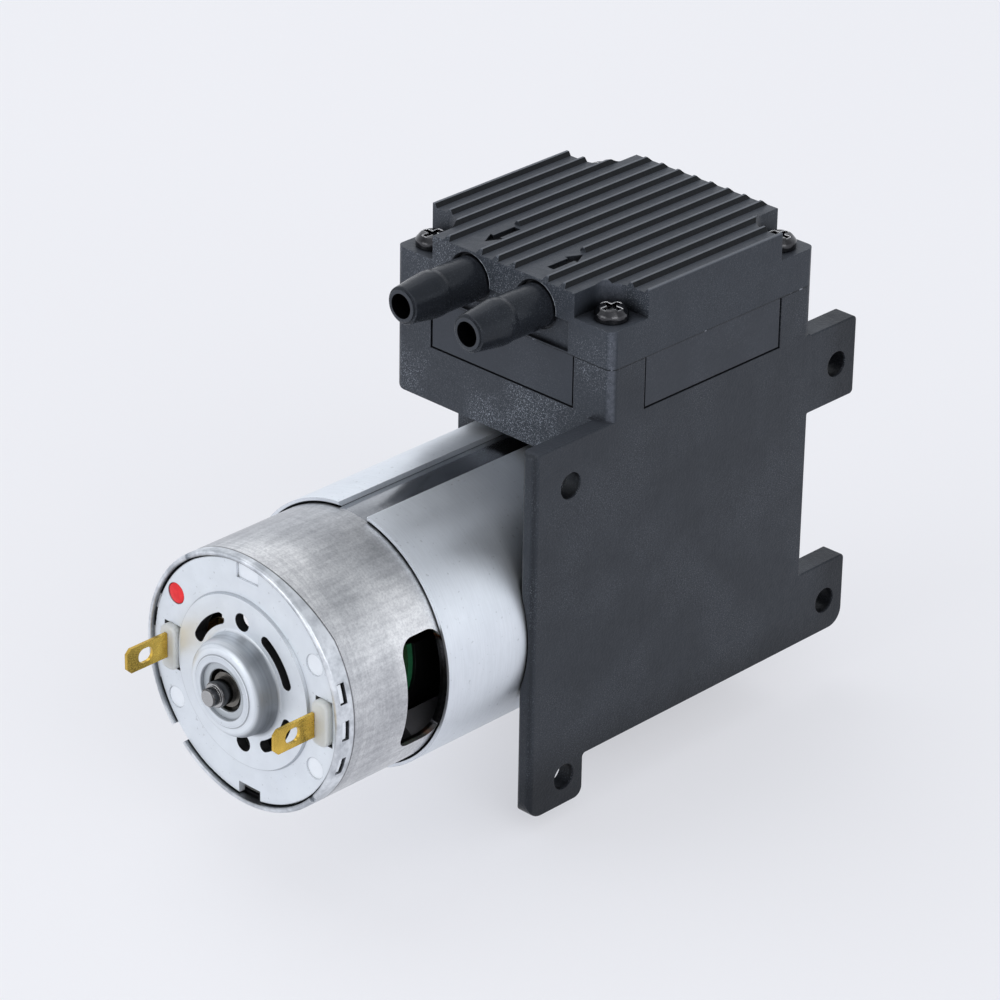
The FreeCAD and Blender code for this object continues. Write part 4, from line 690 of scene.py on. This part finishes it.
# The red spot of paint in one dimple of the end cap; the profile is (radius, rise) from its edge in
PAINT_Y = CAN_REAR + 0.9 * MM
PAINT_DEG = 148.0
PAINT_AT_R = 17.9 * MM
PAINT_SIDES = 40
PAINT_WAVES = ((0.015, 3, 0.5), (0.01, 5, 0.0))  # the edge's waves: height, number, turn
PAINT_PROFILE = ((1.76 * MM, 0.01 * MM), (1.70 * MM, 0.14 * MM), (1.50 * MM, 0.22 * MM),
                 (1.0 * MM, 0.26 * MM), (0.4 * MM, 0.28 * MM))


def red_paint():
    """Thick glossy paint, a little uneven."""
    shader = Shader("red_paint")
    clouds = shader.noise(900, 3.0)
    shader.color(shader.clouded(clouds, (0.62, 0.015, 0.02), (0.80, 0.03, 0.035)))
    shader.roughness(shader.varied(clouds, 0.12, 0.25))
    shader.bump((shader.noise(1400), 0.08, 0.05 * MM))
    shader.set(Specular_IOR_Level=0.15, Coat_Weight=0.15, Coat_Roughness=0.08)
    return shader.material


def make_paint_dot():
    """A low dome with a softly uneven edge."""
    at = math.radians(PAINT_DEG)
    middle_x, middle_z = AXIS_X + PAINT_AT_R * math.cos(at), PAINT_AT_R * math.sin(at)
    mesh = bmesh.new()
    rings = []
    for r, rise in PAINT_PROFILE:
        ring = []
        for i in range(PAINT_SIDES):
            a = 2 * math.pi * i / PAINT_SIDES
            wave = sum((height * math.sin(count * a + turn) for height, count, turn in PAINT_WAVES), 1)
            ring.append(mesh.verts.new((middle_x + r * wave * math.cos(a), PAINT_Y - rise,
                                        middle_z + r * wave * math.sin(a))))
        rings.append(ring)
    for outer, inner in zip(rings, rings[1:]):
        for i in range(PAINT_SIDES):
            j = (i + 1) % PAINT_SIDES
            mesh.faces.new((outer[i], outer[j], inner[j], inner[i]))
    mesh.faces.new(rings[-1])
    mesh.faces.new(tuple(reversed(rings[0])))
    bmesh.ops.recalc_face_normals(mesh, faces=mesh.faces)
    data = bpy.data.meshes.new("paint_dot")
    mesh.to_mesh(data)
    mesh.free()
    for face in data.polygons:
        face.use_smooth = True
    dot = bpy.data.objects.new("paint_dot", data)
    dot.data.materials.append(red_paint())
    bpy.context.scene.collection.objects.link(dot)
    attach(dot, "pump")


# Floor, lamps and world
FLOOR_SIZE = 8
FLOOR_GLOW = (0.835, 0.843, 0.885, 1)
FLOOR_SHARE = 0.55
LAMP_TARGET = Vector((AXIS_X, -0.01, 0))
LAMPS = {  # name: (place, size, power)
    "key": ((-1.2, 0.2, 2.0), 1.8, 10.0),
    "right": ((1.9, -0.8, 1.4), 1.5, 14.0),
    "front": ((-0.5, -2.0, 0.9), 1.4, 11.0),
}
STUDIO = ((0.0, 1.15), (0.35, 1.05), (0.55, 0.66), (1.0, 0.66))
STUDIO_TINT = (0.93, 0.955, 1.0)


def floor_material():
    """A matt pale floor; to the camera, metal and glass it shows as half lit from within."""
    shader = Shader("floor")
    shader.color(shader.clouded(shader.noise(3.0), (0.86, 0.86, 0.89), (0.88, 0.88, 0.91)))
    shader.set(Roughness=0.8, Specular_IOR_Level=0.0)
    glow = shader.node("ShaderNodeEmission")
    glow.inputs["Color"].default_value = FLOOR_GLOW
    ray = shader.node("ShaderNodeLightPath").outputs
    seen = shader.most(ray["Is Glossy Ray"], ray["Is Transmission Ray"], ray["Is Camera Ray"])
    mix = shader.node("ShaderNodeMixShader")
    shader.link(shader.times(seen, FLOOR_SHARE), mix.inputs[0])
    shader.link(shader.surface.outputs[0], mix.inputs[1])
    shader.link(glow.outputs[0], mix.inputs[2])
    shader.link(mix.outputs[0], shader.tree.nodes["Material Output"].inputs["Surface"])
    return shader.material


def make_floor():
    bpy.ops.mesh.primitive_plane_add(size=FLOOR_SIZE, location=(0, 0, FLOOR_Z))
    floor = bpy.context.object
    floor.name = "floor"
    floor.data.materials.append(floor_material())


def make_lamps():
    """Square soft lamps aimed at the pump."""
    for name, (place, size, power) in LAMPS.items():
        light = bpy.data.lights.new(name, "AREA")
        light.size = size
        light.energy = power
        lamp = bpy.data.objects.new(name, light)
        lamp.location = place
        lamp.rotation_euler = (LAMP_TARGET - Vector(place)).to_track_quat("-Z", "Y").to_euler()
        bpy.context.scene.collection.objects.link(lamp)


def make_world():
    """A studio that is pale near the horizon and darker overhead."""
    world = bpy.data.worlds.new("studio")
    world.use_nodes = True
    tree = world.node_tree
    place = tree.nodes.new("ShaderNodeTexCoord")
    parts = tree.nodes.new("ShaderNodeSeparateXYZ")
    ramp = tree.nodes.new("ShaderNodeValToRGB")
    tree.links.new(place.outputs["Generated"], parts.inputs[0])
    tree.links.new(parts.outputs["Z"], ramp.inputs["Fac"])
    elements = ramp.color_ramp.elements
    while len(elements) < len(STUDIO):
        elements.new(0.5)
    for element, (height, level) in zip(elements, STUDIO):
        element.position = height
        element.color = (*(part * level for part in STUDIO_TINT), 1)
    tree.links.new(ramp.outputs["Color"], tree.nodes["Background"].inputs["Color"])
    bpy.context.scene.world = world


make_camera()
make_world()
make_lamps()
make_floor()
dress_nodes()
make_paint_dot()
bpy.context.scene.view_settings.view_transform = "Standard"
